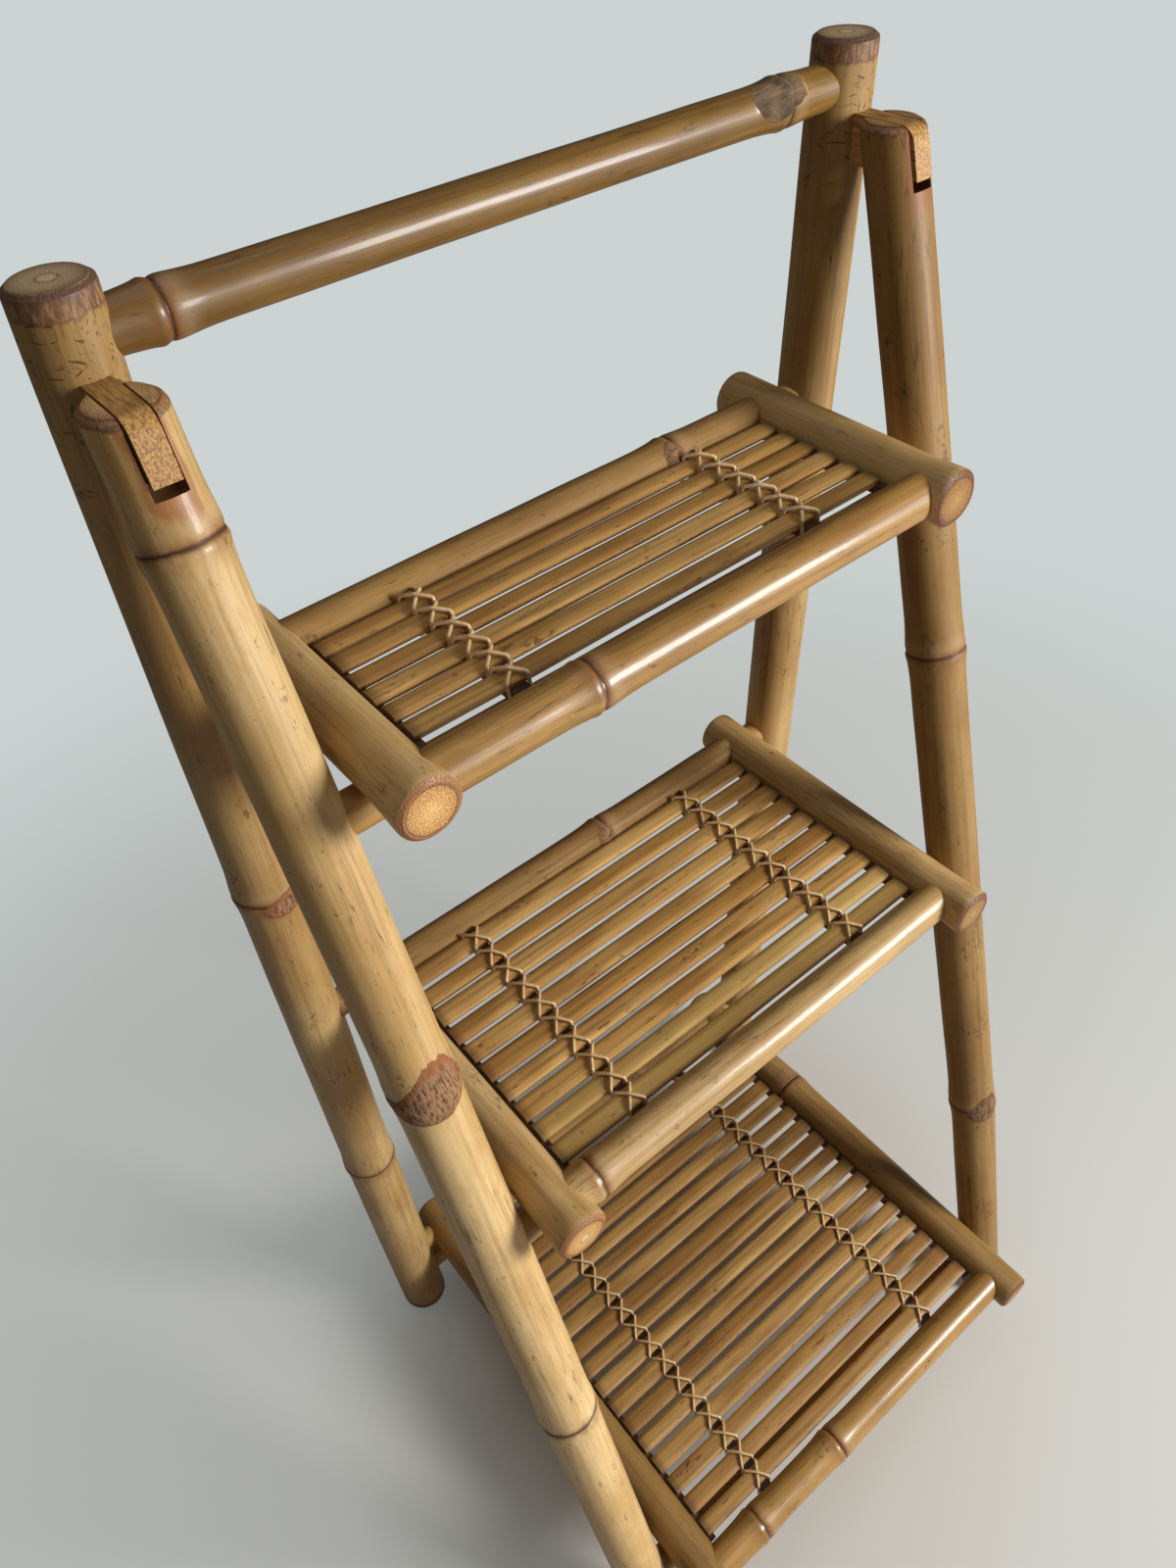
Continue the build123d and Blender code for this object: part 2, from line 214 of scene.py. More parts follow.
# %% Trees and pieces
def new_tree(name, inputs):
    """A Geometry Nodes tree and its named inputs, ready to be used in sums."""
    tree = bpy.data.node_groups.new(name, "GeometryNodeTree")
    tree.interface.new_socket("Geometry", in_out="OUTPUT", socket_type="NodeSocketGeometry")
    for label, kind in inputs.items():
        tree.interface.new_socket(label, in_out="INPUT", socket_type="NodeSocket" + kind)
    graph = Graph(tree)
    entry = tree.nodes.new("NodeGroupInput")
    return graph, {label: Term(graph, pick(entry.outputs, label)) for label in inputs}


def close_tree(graph, geometry):
    """The end of a tree: its geometry goes to its output."""
    graph.put(graph.tree.nodes.new("NodeGroupOutput").inputs[0], geometry)
    print(graph.tree.name, "tree nodes:", len(graph.tree.nodes))


def grown_mesh(graph, name, values):
    """The mesh that a tree makes from the given input values."""
    holder = bpy.data.objects.new(name, bpy.data.meshes.new(name))
    bpy.context.scene.collection.objects.link(holder)
    recipe = holder.modifiers.new("recipe", "NODES")
    recipe.node_group = graph.tree
    for item in graph.tree.interface.items_tree:
        if item.in_out == "INPUT" and item.name in values:
            recipe[item.identifier] = values[item.name]
    seen = bpy.context.evaluated_depsgraph_get()
    mesh = bpy.data.meshes.new_from_object(
        holder.evaluated_get(seen), preserve_all_data_layers=True, depsgraph=seen
    )
    bpy.data.objects.remove(holder)
    return mesh


def place_piece(name, mesh, body, slot, *nodes):
    """A finished mesh as a piece that rides on a body in place of its CAD nodes."""
    piece = bpy.data.objects.new(name, mesh)
    bpy.context.scene.collection.objects.link(piece)
    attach(piece, body)
    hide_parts(*nodes)
    print(name, "faces:", len(mesh.polygons))


def shade_by_angle(graph, geometry, angle):
    """Smooth shading that keeps edges sharper than an angle."""
    smooth = graph.node("GeometryNodeSetShadeSmooth", None, {"Geometry": geometry})
    steep = graph.node("GeometryNodeInputMeshEdgeAngle") > angle
    return graph.node(
        "GeometryNodeSetShadeSmooth", {"domain": "EDGE"},
        {"Geometry": smooth, "Selection": steep, "Shade Smooth": False},
    )


def keep_attribute(graph, geometry, name, value, kind="FLOAT", domain="POINT"):
    """Store a value on the mesh, for the materials to read."""
    return graph.node(
        "GeometryNodeStoreNamedAttribute", {"data_type": kind, "domain": domain},
        {"Geometry": geometry, "Name": name, "Value": value},
    )


def realized(graph, geometry):
    return graph.node("GeometryNodeRealizeInstances", None, {"Geometry": geometry})


def dressed(graph, geometry, material, selection=True):
    """A geometry whose selected faces wear a material."""
    return graph.node(
        "GeometryNodeSetMaterial", None,
        {"Geometry": geometry, "Selection": selection, "Material": material},
    )


# %% [markdown]
# ## Colours
# Colours are written as they look on a screen, from 0 to 255, and turned into the
# linear values that Blender's shaders use. A finish is built up as a painter would do
# it, with one tint laid over another through its own mask.

# %% Paint
def paint(red, green, blue):
    """A screen colour as linear red, green, blue and alpha."""
    linear = [
        share / 12.92 if share <= 0.04045 else ((share + 0.055) / 1.055) ** 2.4
        for share in (red / 255, green / 255, blue / 255)
    ]
    return (*linear, 1.0)


def new_material(name, **constants):
    """A material's graph and its shader, with values that are the same all over."""
    material = bpy.data.materials.new(name)
    material.use_nodes = True
    graph = Graph(material.node_tree)
    shader = material.node_tree.nodes["Principled BSDF"]
    for label, value in constants.items():
        shader.inputs[label.replace("_", " ")].default_value = value
    return material, graph, shader


def mixed(graph, factor, one, two, blend="MIX"):
    """Two colours mixed by a factor."""
    return graph.node(
        "ShaderNodeMix", {"data_type": "RGBA", "blend_type": blend, "clamp_factor": True},
        {"Factor": factor, "A": one, "B": two}, out="Result",
    )


def layered(graph, colour, *layers):
    """Tints laid over a colour one after another, each through its own mask."""
    for mask, tint in layers:
        colour = mixed(graph, mask, colour, tint)
    return colour


def finished(material, graph, shader, colour, height, distance, strength):
    """A material whose colour and relief are in place."""
    relief = graph.node(
        "ShaderNodeBump", None, {"Strength": strength, "Distance": distance, "Height": height}
    )
    graph.put(shader.inputs["Base Color"], colour)
    graph.put(shader.inputs["Normal"], relief)
    print(material.name, "nodes:", len(graph.tree.nodes))
    return material


def read_attribute(graph, name, out="Fac"):
    return graph.node("ShaderNodeAttribute", {"attribute_name": name}, None, out)


# %% [markdown]
# ## Bamboo skin
# A varnished culm is honey coloured with long fibre streaks, broad paler and browner
# patches, dark specks and dashes, a dark line at each joint of the cane and scorched
# brown ends. A picture wrapped round each pole would repeat from cane to cane. Noise
# doesn't, and all of these marks follow the cane, so its tree stores a grain vector on
# it, with the third part along the cane, and the material stretches noise that way.

# %% Skin material
# The brown that painted shade multiplies in where a piece gets less light; on some pieces it is
# partly their own deeper tone.
shade_tint = paint(158, 139, 90)


def scratches(graph, place, wear):
    """Short brown dashes on two slants where the cane is worn."""
    across, over, along = graph.parts(place)
    worn = graph.noise(graph.scaled(place, 110.0), 1.0) + wear
    marks = 0.0
    for slant in (0.9, -0.7):
        rising = along + (across + over) * slant
        falling = along - (across + over) * slant
        dash = graph.noise(graph.joined(rising * 150.0, falling * 480.0, slant * 9.0), 1.0)
        marks = graph.smooth(dash, 0.66, 0.70) + marks
    return marks * graph.smooth(worn, 1.0, 1.15)


def bamboo_skin(name, pale, ripe, brown, skin_roughness, coat):
    """Varnished cane skin in three tones, with joints, specks, scars, scorched ends and painted
    shade.
    """
    material, graph, shader = new_material(name, Coat_Roughness=0.12, Coat_IOR=1.5)
    smooth, hump = graph.smooth, graph.hump
    place = read_attribute(graph, "grain", "Vector")
    tone = read_attribute(graph, "tone")
    shift = graph.joined(tone * 3.1, tone * 5.3, tone * 7.7)
    moved = graph.vector("ADD", place, shift)

    def stretched(across, along, detail=2.0, roughness=0.55):
        """Noise that is drawn out along the cane."""
        sized = graph.vector("MULTIPLY", moved, (across, across, along))
        return graph.noise(sized, detail, roughness)

    # The grown skin: patches, streaks, fibres and small marks.
    fibres = stretched(1100.0, 16.0, 3.0)
    streaks = stretched(240.0, 5.0)
    patches = stretched(28.0, 9.0)
    mottle = stretched(130.0, 55.0, 4.0, 0.65)
    dashes = stretched(420.0, 75.0, 2.0, 0.6)
    dots = stretched(520.0, 420.0, 1.0)
    specks = smooth(dashes, 0.69, 0.74) * 0.55 + smooth(dots, 0.72, 0.76) * 0.5
    nicks = smooth(stretched(300.0, 150.0, 3.0, 0.7), 0.705, 0.73)
    crack = hump(stretched(250.0, 13.0, 1.0) - 0.5, 0.011)
    crack = crack * smooth(stretched(34.0, 20.0), 0.5, 0.62)
    freckles = smooth(stretched(420.0, 300.0, 2.0, 0.6), 0.52, 0.6)
    freckles = freckles * smooth(stretched(62.0, 24.0), 0.64, 0.7)
    scratch = scratches(graph, moved, read_attribute(graph, "wear"))
    colour = layered(
        graph, pale,
        (smooth(patches, 0.32, 0.66), ripe),
        (smooth(mottle, 0.5, 0.64) * 0.4, ripe),
        (smooth(mottle, 0.5, 0.36) * 0.3, pale),
        (smooth(streaks, 0.46, 0.74) * 0.4, brown),
        (smooth(fibres, 0.4, 0.75) * 0.32, brown),
        (specks, paint(84, 52, 24)),
        (nicks * 0.5, paint(226, 196, 146)),
        (crack * 0.7, paint(96, 60, 27)),
        (freckles * 0.6, paint(98, 56, 24)),
        (scratch * 0.8, paint(112, 68, 30)),
    )
    # Painted shade: the shade mark darkens the canes that get less light towards brown, partly also
    # their own deeper tone.
    colour = mixed(graph, read_attribute(graph, "shade"), colour, shade_tint, "MULTIPLY")

    # Rings, and the stain about the hinge slot.
    gap = read_attribute(graph, "node_gap")
    ragged = gap + (stretched(150.0, 150.0) - 0.5) * 0.0016
    halo = hump(ragged, 0.0085) * smooth(stretched(90.0, 60.0), 0.3, 0.62)
    band = hump(ragged - 0.0008, 0.0026) * smooth(mottle, 0.36, 0.56)
    line = hump(ragged, 0.0010)
    stain = read_attribute(graph, "stain") + (stretched(180.0, 90.0, 3.0) - 0.5) * 0.9
    colour = layered(
        graph, colour,
        (halo * 0.6, paint(128, 82, 40)),
        (hump(gap - 0.006, 0.0045) * 0.12, paint(226, 202, 160)),
        (band * 0.75, paint(138, 82, 42)),
        (line * 0.9, paint(60, 36, 18)),
        (smooth(stain, 0.45, 0.9) * 0.7, paint(146, 84, 44)),
    )

    # Scorched ends.
    threads = stretched(760.0, 130.0, 3.0, 0.7)
    darker_ends = read_attribute(graph, "burn") + (stretched(240.0, 60.0) - 0.5) * 0.45
    char = layered(
        graph, paint(92, 60, 42),
        (smooth(threads, 0.36, 0.64), paint(162, 120, 84)),
        (smooth(darker_ends, 0.75, 1.05) * 0.8, paint(78, 52, 42)),
    )

    # Bark in the scars, grey where the scar is dull.
    scar = read_attribute(graph, "scar") + (stretched(220.0, 130.0, 3.0) - 0.5) * 0.3
    rough_patch = smooth(scar, 0.04, 0.09)
    crinkle = stretched(760.0, 190.0, 2.0, 0.5)
    # The bark's own grey, which this mark brings into a scar.
    dull = mixed(graph, smooth(mottle, 0.35, 0.65), paint(52, 41, 27), paint(118, 96, 68))
    bark = layered(
        graph, paint(76, 47, 30),
        (smooth(crinkle, 0.32, 0.56), paint(160, 121, 86)),
        (smooth(mottle, 0.52, 0.66) * 0.5, paint(96, 62, 42)),
        (0.9 - smooth(scar, 0.12, 0.5) * 0.85, paint(142, 82, 42)),
        (read_attribute(graph, "dull"), dull),
    )
    colour = layered(
        graph, colour,
        (smooth(darker_ends, 0.28, 0.4) * 0.9, char),
        (hump(darker_ends - 0.33, 0.07) * 0.5, paint(84, 50, 32)),
        (rough_patch * 0.95, bark),
        (hump(scar - 0.05, 0.025) * 0.3, paint(220, 182, 126)),
    )

    shine = read_attribute(graph, "gloss")
    satin = (1.0 - shine) * 0.22
    coat_share = shine * coat
    height = fibres * 0.16 + streaks * 0.3 - specks * 0.2 - line * 0.9 + nicks * 0.25
    height = height + rough_patch * crinkle * 2.0 - scratch * 0.4
    graph.put(shader.inputs["Roughness"], skin_roughness + satin + fibres * 0.16 + rough_patch * 0.35)
    graph.put(shader.inputs["Coat Weight"], coat_share - rough_patch * coat_share)
    return finished(material, graph, shader, colour, height, 0.0006, 0.6)


leg_skin = bamboo_skin(
    "leg_skin", paint(231, 198, 141), paint(206, 167, 105), paint(150, 108, 53),
    skin_roughness=0.36, coat=0.3,
)
rail_skin = bamboo_skin(
    "rail_skin", paint(190, 147, 78), paint(164, 121, 58), paint(110, 75, 32),
    skin_roughness=0.28, coat=0.5,
)
matte_skin = bamboo_skin(
    "matte_skin", paint(178, 139, 78), paint(154, 115, 58), paint(104, 72, 32),
    skin_roughness=0.55, coat=0.1,
)
olive_skin = bamboo_skin(
    "olive_skin", paint(196, 157, 84), paint(158, 121, 58), paint(100, 71, 30),
    skin_roughness=0.28, coat=0.5,
)

# %% [markdown]
# ## Cut ends
# Where a cane is sawn across, the ends of its fibres show as fine dots in pale wood,
# with the hard skin as a dark rim and a little oval of pith in the middle. Rings of
# faces could carry these as materials of their own, but their edges would be hard. So
# the tree stores how far out a point is, from 0 at the core to 1 at the skin, and one
# material fades from each to the next.

# %% End grain material
def cane_end(name):
    """Sawn cane: pale dotted wood, a dark rim, a small pith and painted shade on dim canes."""
    material, graph, shader = new_material(name, Roughness=0.5)
    smooth, hump = graph.smooth, graph.hump
    place = read_attribute(graph, "grain", "Vector")
    core = read_attribute(graph, "core")
    burn = read_attribute(graph, "burn")
    has_pith = read_attribute(graph, "pith")
    cells = graph.node(
        "ShaderNodeTexVoronoi", {"voronoi_dimensions": "2D"},
        {"Vector": graph.vector("MULTIPLY", place, (1.0, 1.0, 0.0)), "Scale": 950.0},
        out="Distance",
    )
    cloud = graph.noise(graph.scaled(place, 220.0), 3.0)
    drift = cloud - 0.5
    dots = smooth(core, 0.1, 0.7) * 0.45 + 0.25
    charred = smooth(burn + drift * 0.7, 0.3, 0.95) * 0.85
    toasted = mixed(graph, smooth(core, 0.4, 0.95), paint(190, 166, 130), paint(104, 78, 60))
    pith = 1.0 - smooth(core + drift * 0.12, 0.16, 0.24)
    pith_rim = hump(core + drift * 0.12 - 0.22, 0.03)
    rim = smooth(core + drift * 0.16, 0.78, 0.92)
    rim_wood = mixed(graph, smooth(burn, 0.6, 1.0), paint(148, 98, 62), paint(82, 58, 46))
    edge = hump(core + drift * 0.1 - 0.83, 0.035)
    wood = layered(
        graph, paint(236, 188, 118),
        (core + drift * 0.6, paint(186, 132, 72)),
        ((1.0 - smooth(cells, 0.12, 0.42)) * dots, paint(112, 68, 32)),
        (charred, toasted),
        (pith * has_pith * 0.7, paint(222, 200, 160)),
        (pith_rim * has_pith * 0.6, paint(96, 60, 32)),
        (rim * 0.8, rim_wood),
        (edge * 0.7, paint(84, 48, 26)),
    )
    # Painted shade: this mark darkens the cut ends of the canes on the dim right-hand side.
    wood = mixed(graph, read_attribute(graph, "dull") * 0.75, wood, shade_tint, "MULTIPLY")
    height = cloud * 0.6 + smooth(cells, 0.1, 0.4) * 0.5
    return finished(material, graph, shader, wood, height, 0.0005, 0.7)


cut_end = cane_end("cut_end")

# %% [markdown]
# ## A cane as a tree
# Every pole follows one rule: a tapering tube that swells at its joints, is never
# quite round or straight, and ends in two saw cuts. Each could be sculpted, but a rule
# makes all of them from a few sizes. A cylinder gives the points, and one Set Position
# moves each of them to where the rule says. The tops of the front legs also need the
# hinge slot, which a Boolean cuts out before the materials are chosen.

# %% Cane inputs
ring_numbers = (1, 2, 3)
no_ring = -1.0
zero = (0.0, 0.0, 0.0)
socket_kinds = {tuple: "Vector", float: "Float", int: "Int", bpy.types.Material: "Material"}
plain_cane = {
    "Start": zero, "End": zero, "Side": (0.0, 0.0, 1.0), "Start Cut": zero, "End Cut": zero,
    "Bow": zero, "Kink": zero, "Kink At": 0.1, "Radius": 0.0, "Taper": 0.0, "Belly": 0.0,
    "Flare": 0.0, "Swell": 0.0011, "Lumps": 0.0003, "Rim": 0.0015,
    **{f"Ring {number}": no_ring for number in ring_numbers},
    "Scar At": no_ring, "Scar Turn": 0.0, "Scar Rise": 0.02, "Scar Drop": 0.02,
    "Scar Close": 2.6, "Scar Lean": 0.0, "Dull": 0.0, "Shade": 0.0, "Shade Rise": 0.0,
    "Gloss": 0.5, "Burn": 0.5, "Burn Reach": 0.006, "Wear": 0.0, "Pith": 0.0, "Seed": 0.0,
    "Step": 0.0016, "Sides": 40, "Slot Width": 0.0, "Slot Floor": 0.0,
    "Skin": leg_skin, "End Grain": cut_end, "Raw Wood": cut_end,
}
culm_graph, given = new_tree(
    "culm", {label: socket_kinds[type(value)] for label, value in plain_cane.items()}
)
print("cane inputs:", len(given))


def cane_axes(graph, given):
    """The cane's span and length, its direction and two directions across it."""
    span = graph.vector("SUBTRACT", given["End"], given["Start"])
    axis = graph.vector("NORMALIZE", span)
    lengthwise = graph.scaled(axis, graph.dot(given["Side"], axis))
    first = graph.vector("NORMALIZE", graph.vector("SUBTRACT", given["Side"], lengthwise))
    second = graph.vector("CROSS_PRODUCT", axis, first)
    return span, graph.vector("LENGTH", span, out="Value"), axis, first, second


def scar_form(graph, given, across, over, along):
    """A patch about a ring: positive inside, its upper half turned by its lean."""
    lean_from, lean_to, point_power = -0.008, 0.020, 0.62
    reach = along - given["Scar At"]
    turn = given["Scar Turn"] + given["Scar Lean"] * graph.smooth(reach, lean_from, lean_to)
    facing = across * graph.math("COSINE", turn) + over * graph.math("SINE", turn)
    above = graph.math("MAXIMUM", reach, 0.0) / given["Scar Rise"]
    below = graph.math("MAXIMUM", reach * -1.0, 0.0) / given["Scar Drop"]
    aside = graph.math("MAXIMUM", (1.0 - facing) * given["Scar Close"], 0.0)
    return 1.0 - graph.math("POWER", aside, point_power) - above - below * below * below


# %% Cane shape
def cane_radius(graph, given, x, y, share, length):
    """How thick the cane is: its taper, belly, lumps, flare, scar, rings and rounded rims."""
    flare_reach, ring_reach, pinch_reach = 0.016, 0.012, 0.0015
    ridge_drop, ridge_reach = 0.003, 0.0022
    along = share * length
    lump_place = graph.joined(
        x * 0.7 + given["Seed"], y * 0.7 + given["Seed"] * 1.7, along * 13.0
    )
    lump = (graph.noise(lump_place, 1.0) - 0.5) * 2.0 * given["Lumps"]
    radius = given["Radius"] * (1.0 + given["Taper"] * (share - 0.5)) + lump
    radius = radius + given["Belly"] * share * (1.0 - share) * 4.0
    radius = radius + given["Flare"] * graph.hump(along, flare_reach)
    bulge = graph.smooth(scar_form(graph, given, x, y, along), 0.0, 0.7)
    radius = radius + bulge * given["Swell"] * 0.8
    for number in ring_numbers:
        gap = along - given[f"Ring {number}"]
        pinch = graph.hump(gap, pinch_reach) * 0.65
        ridge = graph.hump(gap + ridge_drop, ridge_reach) * 0.35
        radius = radius + given["Swell"] * (graph.hump(gap, ring_reach) - pinch + ridge)
    to_end = graph.math("MINIMUM", along, length - along)
    bevel = graph.math("MAXIMUM", 1.0 - to_end / given["Rim"], 0.0)
    return radius - given["Rim"] * (1.0 - graph.math("SQRT", 1.0 - bevel * bevel * 0.96))


def shaped_cane(graph, given, length, axis, first, second):
    """A tube whose points are moved to where the cane's skin and saw cuts are."""
    cut_reach = 0.04
    tube = graph.node(
        "GeometryNodeMeshCylinder", {"fill_type": "TRIANGLE_FAN"},
        {"Vertices": given["Sides"], "Side Segments": length / given["Step"],
         "Fill Segments": 6, "Radius": 1.0, "Depth": 1.0},
    )
    x, y, z = graph.parts(graph.node("GeometryNodeInputPosition"))
    share = z + 0.5
    along = share * length
    radius = cane_radius(graph, given, x, y, share, length)
    out = graph.vector(
        "ADD", graph.scaled(first, x * radius), graph.scaled(second, y * radius)
    )

    def saw(normal, distance):
        """How far a point slides along the cane to lie on the slanted saw cut."""
        near = graph.math("MAXIMUM", 1.0 - distance / cut_reach, 0.0)
        return graph.dot(out, normal) / graph.dot(axis, normal) * near * -1.0

    slid = along + saw(given["Start Cut"], along) + saw(given["End Cut"], length - along)
    bent = graph.math("MAXIMUM", 1.0 - along / given["Kink At"], 0.0)
    spot = given["Start"]
    for move in (
        graph.scaled(axis, slid),
        out,
        graph.scaled(given["Bow"], share * (1.0 - share) * 4.0),
        graph.scaled(given["Kink"], bent),
    ):
        spot = graph.vector("ADD", spot, move)
    return graph.node("GeometryNodeSetPosition", None, {"Geometry": tube, "Position": spot})


# %% Hinge slot
least_slot = 0.001


def slotted_cane(graph, given, cane, axis):
    """The cane with the hinge slot cut out of its top, where it has one."""
    slot_tall, slot_deep = 0.06, 0.09
    middle = graph.vector(
        "ADD", given["Start"], graph.scaled(axis, given["Slot Floor"] + slot_tall / 2)
    )
    lean = graph.node(
        "FunctionNodeAlignRotationToVector", {"axis": "Z", "pivot_axis": "X"}, {"Vector": axis}
    )
    block = graph.node(
        "GeometryNodeMeshCube", None,
        {"Size": graph.joined(given["Slot Width"], slot_deep, slot_tall)},
    )
    block = graph.node(
        "GeometryNodeTransform", None,
        {"Geometry": block, "Translation": middle, "Rotation": lean},
    )
    slotted = graph.node(
        "GeometryNodeMeshBoolean", {"operation": "DIFFERENCE", "solver": "EXACT"},
        {"Mesh 1": cane, "Mesh 2": block},
    )
    return graph.node(
        "GeometryNodeSwitch", {"input_type": "GEOMETRY"},
        {"Switch": given["Slot Width"] > least_slot, "False": cane, "True": slotted},
    )


# %% Marks on a cane
def marked_cane(graph, given, cane, span, length, axis, first, second):
    """The cane with the marks that its finishes read, and which faces are sawn or raw."""
    wear_full, wear_none = 0.03, 0.14
    shade_low, shade_high = 0.35, 0.9
    stain_side, stain_drop = 0.006, 0.022
    wall_slack, floor_slack = 0.00005, 0.0002
    here = graph.vector("SUBTRACT", graph.node("GeometryNodeInputPosition"), given["Start"])
    along = graph.dot(here, axis)
    across = graph.dot(here, first)
    over = graph.dot(here, second)
    gap = along - given["Ring 1"]
    for number in ring_numbers[1:]:
        other = along - given[f"Ring {number}"]
        gap = gap + (other - gap) * (abs(other) < abs(gap))
    back = graph.vector("SUBTRACT", span, here)
    to_start = graph.dot(here, given["Start Cut"]) / graph.dot(axis, given["Start Cut"])
    to_end = graph.dot(back, given["End Cut"]) / graph.dot(axis, given["End Cut"])
    end_gap = graph.math("MINIMUM", to_start, to_end)
    flat = abs(graph.dot(graph.node("GeometryNodeInputNormal"), axis)) > 0.5
    sawn = flat * (end_gap < given["Rim"])

    slot_half, slot_floor = given["Slot Width"] * 0.5, given["Slot Floor"]
    has_slot = given["Slot Width"] > least_slot
    inside = (abs(across) < slot_half + wall_slack) * (along > slot_floor - floor_slack)
    raw = inside * (1.0 - sawn) * has_slot
    beside = 1.0 - graph.smooth(abs(across) - slot_half, 0.0, stain_side)
    below = graph.smooth(along - slot_floor, -stain_drop, 0.0)
    rise = graph.smooth(along / length, shade_low, shade_high)
    marks = {
        "node_gap": gap,
        "core": graph.math("SQRT", across * across + over * over) / given["Radius"],
        "scar": scar_form(
            graph, given, across / given["Radius"], over / given["Radius"], along
        ),
        "tone": given["Seed"],
        "burn": given["Burn"] * (1.0 - graph.smooth(end_gap, 0.0, given["Burn Reach"])),
        "wear": given["Wear"] * (1.0 - graph.smooth(to_end, wear_full, wear_none)),
        "pith": given["Pith"],
        # Painted shade for canes that get less light, partly their own deeper tone; Shade Rise makes
        # it darker towards the top.
        "shade": given["Shade"] + given["Shade Rise"] * rise,
        # This mark greys the bark in scars, and on cut ends it is painted shade where less light
        # falls.
        "dull": given["Dull"],
        "stain": beside * below * has_slot,
        "gloss": given["Gloss"],
    }
    grain = graph.joined(across, over, along)
    cane = keep_attribute(graph, cane, "grain", grain, "FLOAT_VECTOR")
    for name, value in marks.items():
        cane = keep_attribute(graph, cane, name, value)
    return cane, sawn, raw


# %% Cane tree
def grow_culm_tree(graph, given):
    """The whole recipe of a cane."""
    crease = 0.55
    span, length, axis, first, second = cane_axes(graph, given)
    cane = shaped_cane(graph, given, length, axis, first, second)
    cane = slotted_cane(graph, given, cane, axis)
    cane, sawn, raw = marked_cane(graph, given, cane, span, length, axis, first, second)
    cane = realized(graph, shade_by_angle(graph, cane, crease))
    cane = dressed(graph, cane, given["Skin"])
    cane = dressed(graph, cane, given["End Grain"], sawn)
    close_tree(graph, dressed(graph, cane, given["Raw Wood"], raw))


grow_culm_tree(culm_graph, given)


def culm(start, end, radius, seed, skin, rings=(), **more):
    """A cane between two points; rings are lengths from its start."""
    axis = tuple((Vector(end) - Vector(start)).normalized())
    values = {
        **plain_cane, "Start": start, "End": end, "Start Cut": axis, "End Cut": axis,
        "Radius": radius, "Seed": seed, "Skin": skin,
    }
    for number, ring in enumerate(rings, start=1):
        values[f"Ring {number}"] = ring
    for label, value in more.items():
        values[label.replace("_", " ").title()] = value
    return grown_mesh(culm_graph, "culm", values)


# %% [markdown]
# ## Legs
# The four legs lean towards each other. Their saw cuts lie level with the floor, so
# the cut normals point straight up. The front pair carries the hinge slots, and near
# the top its back is hollowed to the round of the rear leg that it meets there. A
# second Boolean could hollow it, but moving the few points that lie too far back is
# quicker and leaves the faces as they are.

# %% Legs
leg_x = 0.195
rear_height, rear_lean, rear_foot_y = 0.920, 0.0374, 0.169986
front_height, front_foot_y = 0.889, -0.154014
hinge_y, hinge_z = 0.096482, 0.8775
slot_below_pin, slot_width = 0.0205, 0.0130
saddle_radius = 0.0169
leg_seed_step = 0.37
upright = (0.0, 0.0, 1.0)


def rear_y(z):
    return rear_foot_y - rear_lean * z / rear_height


def front_y(z):
    return front_foot_y + (hinge_y - front_foot_y) * z / hinge_z


def hollow_back(mesh, x):
    """Keeps the back of a front leg in front of the rear leg beside it."""
    for point in mesh.vertices:
        reach = saddle_radius ** 2 - (point.co.x - x) ** 2
        if reach > 0.0:
            point.co.y = min(point.co.y, rear_y(point.co.z) - math.sqrt(reach))


front_lean = math.atan2(hinge_y - front_foot_y, hinge_z)
rear_look = {"burn": 1.0, "burn_reach": 0.015, "pith": 1.0, "rim": 0.003}
front_look = {
    "burn": 0.6, "burn_reach": 0.007, "rim": 0.004, "slot_width": slot_width,
    "slot_floor": hinge_z / math.cos(front_lean) - slot_below_pin,
}
# Painted shade: the shade values darken the legs that get less light, the right-hand and rear ones
# most, partly also the canes' own deeper tone.
legs = {
    "rear_leg_left": {
        "rings": (0.274, 0.598), "radius": 0.0174, "taper": -0.15, "bow": (-0.0040, 0.0034, 0.0),
        "scar_at": 0.596, "scar_turn": -1.4, "scar_rise": 0.022, "scar_drop": 0.013,
        "scar_close": 2.0, "scar_lean": 0.35, "shade": 0.4, "shade_rise": 0.35, "wear": 0.72,
    },
    "rear_leg_right": {
        "rings": (0.300, 0.650), "radius": 0.0168, "taper": -0.08, "belly": 0.0003,
        "shade": 0.5, "shade_rise": 0.2, "wear": 0.68, "gloss": 0.2,
    },
    "front_leg_left": {
        "rings": (0.288, 0.573, 0.841), "radius": 0.0162, "taper": -0.08, "belly": 0.0017,
        "scar_at": 0.570, "scar_turn": -1.84, "scar_rise": 0.0235, "scar_drop": 0.013,
        "scar_close": 1.2, "scar_lean": 0.5, "shade_rise": 0.3,
    },
    "front_leg_right": {
        "rings": (0.231, 0.616), "radius": 0.0156, "taper": 0.0, "belly": 0.0012,
        "scar_at": 0.230, "scar_turn": -1.98, "scar_rise": 0.017, "scar_drop": 0.010,
        "scar_close": 3.6, "scar_lean": 0.35, "dull": 0.6, "shade": 0.9, "gloss": 0.15,
        "kink": (-0.0046, 0.0038, 0.0), "kink_at": 0.22,
    },
}
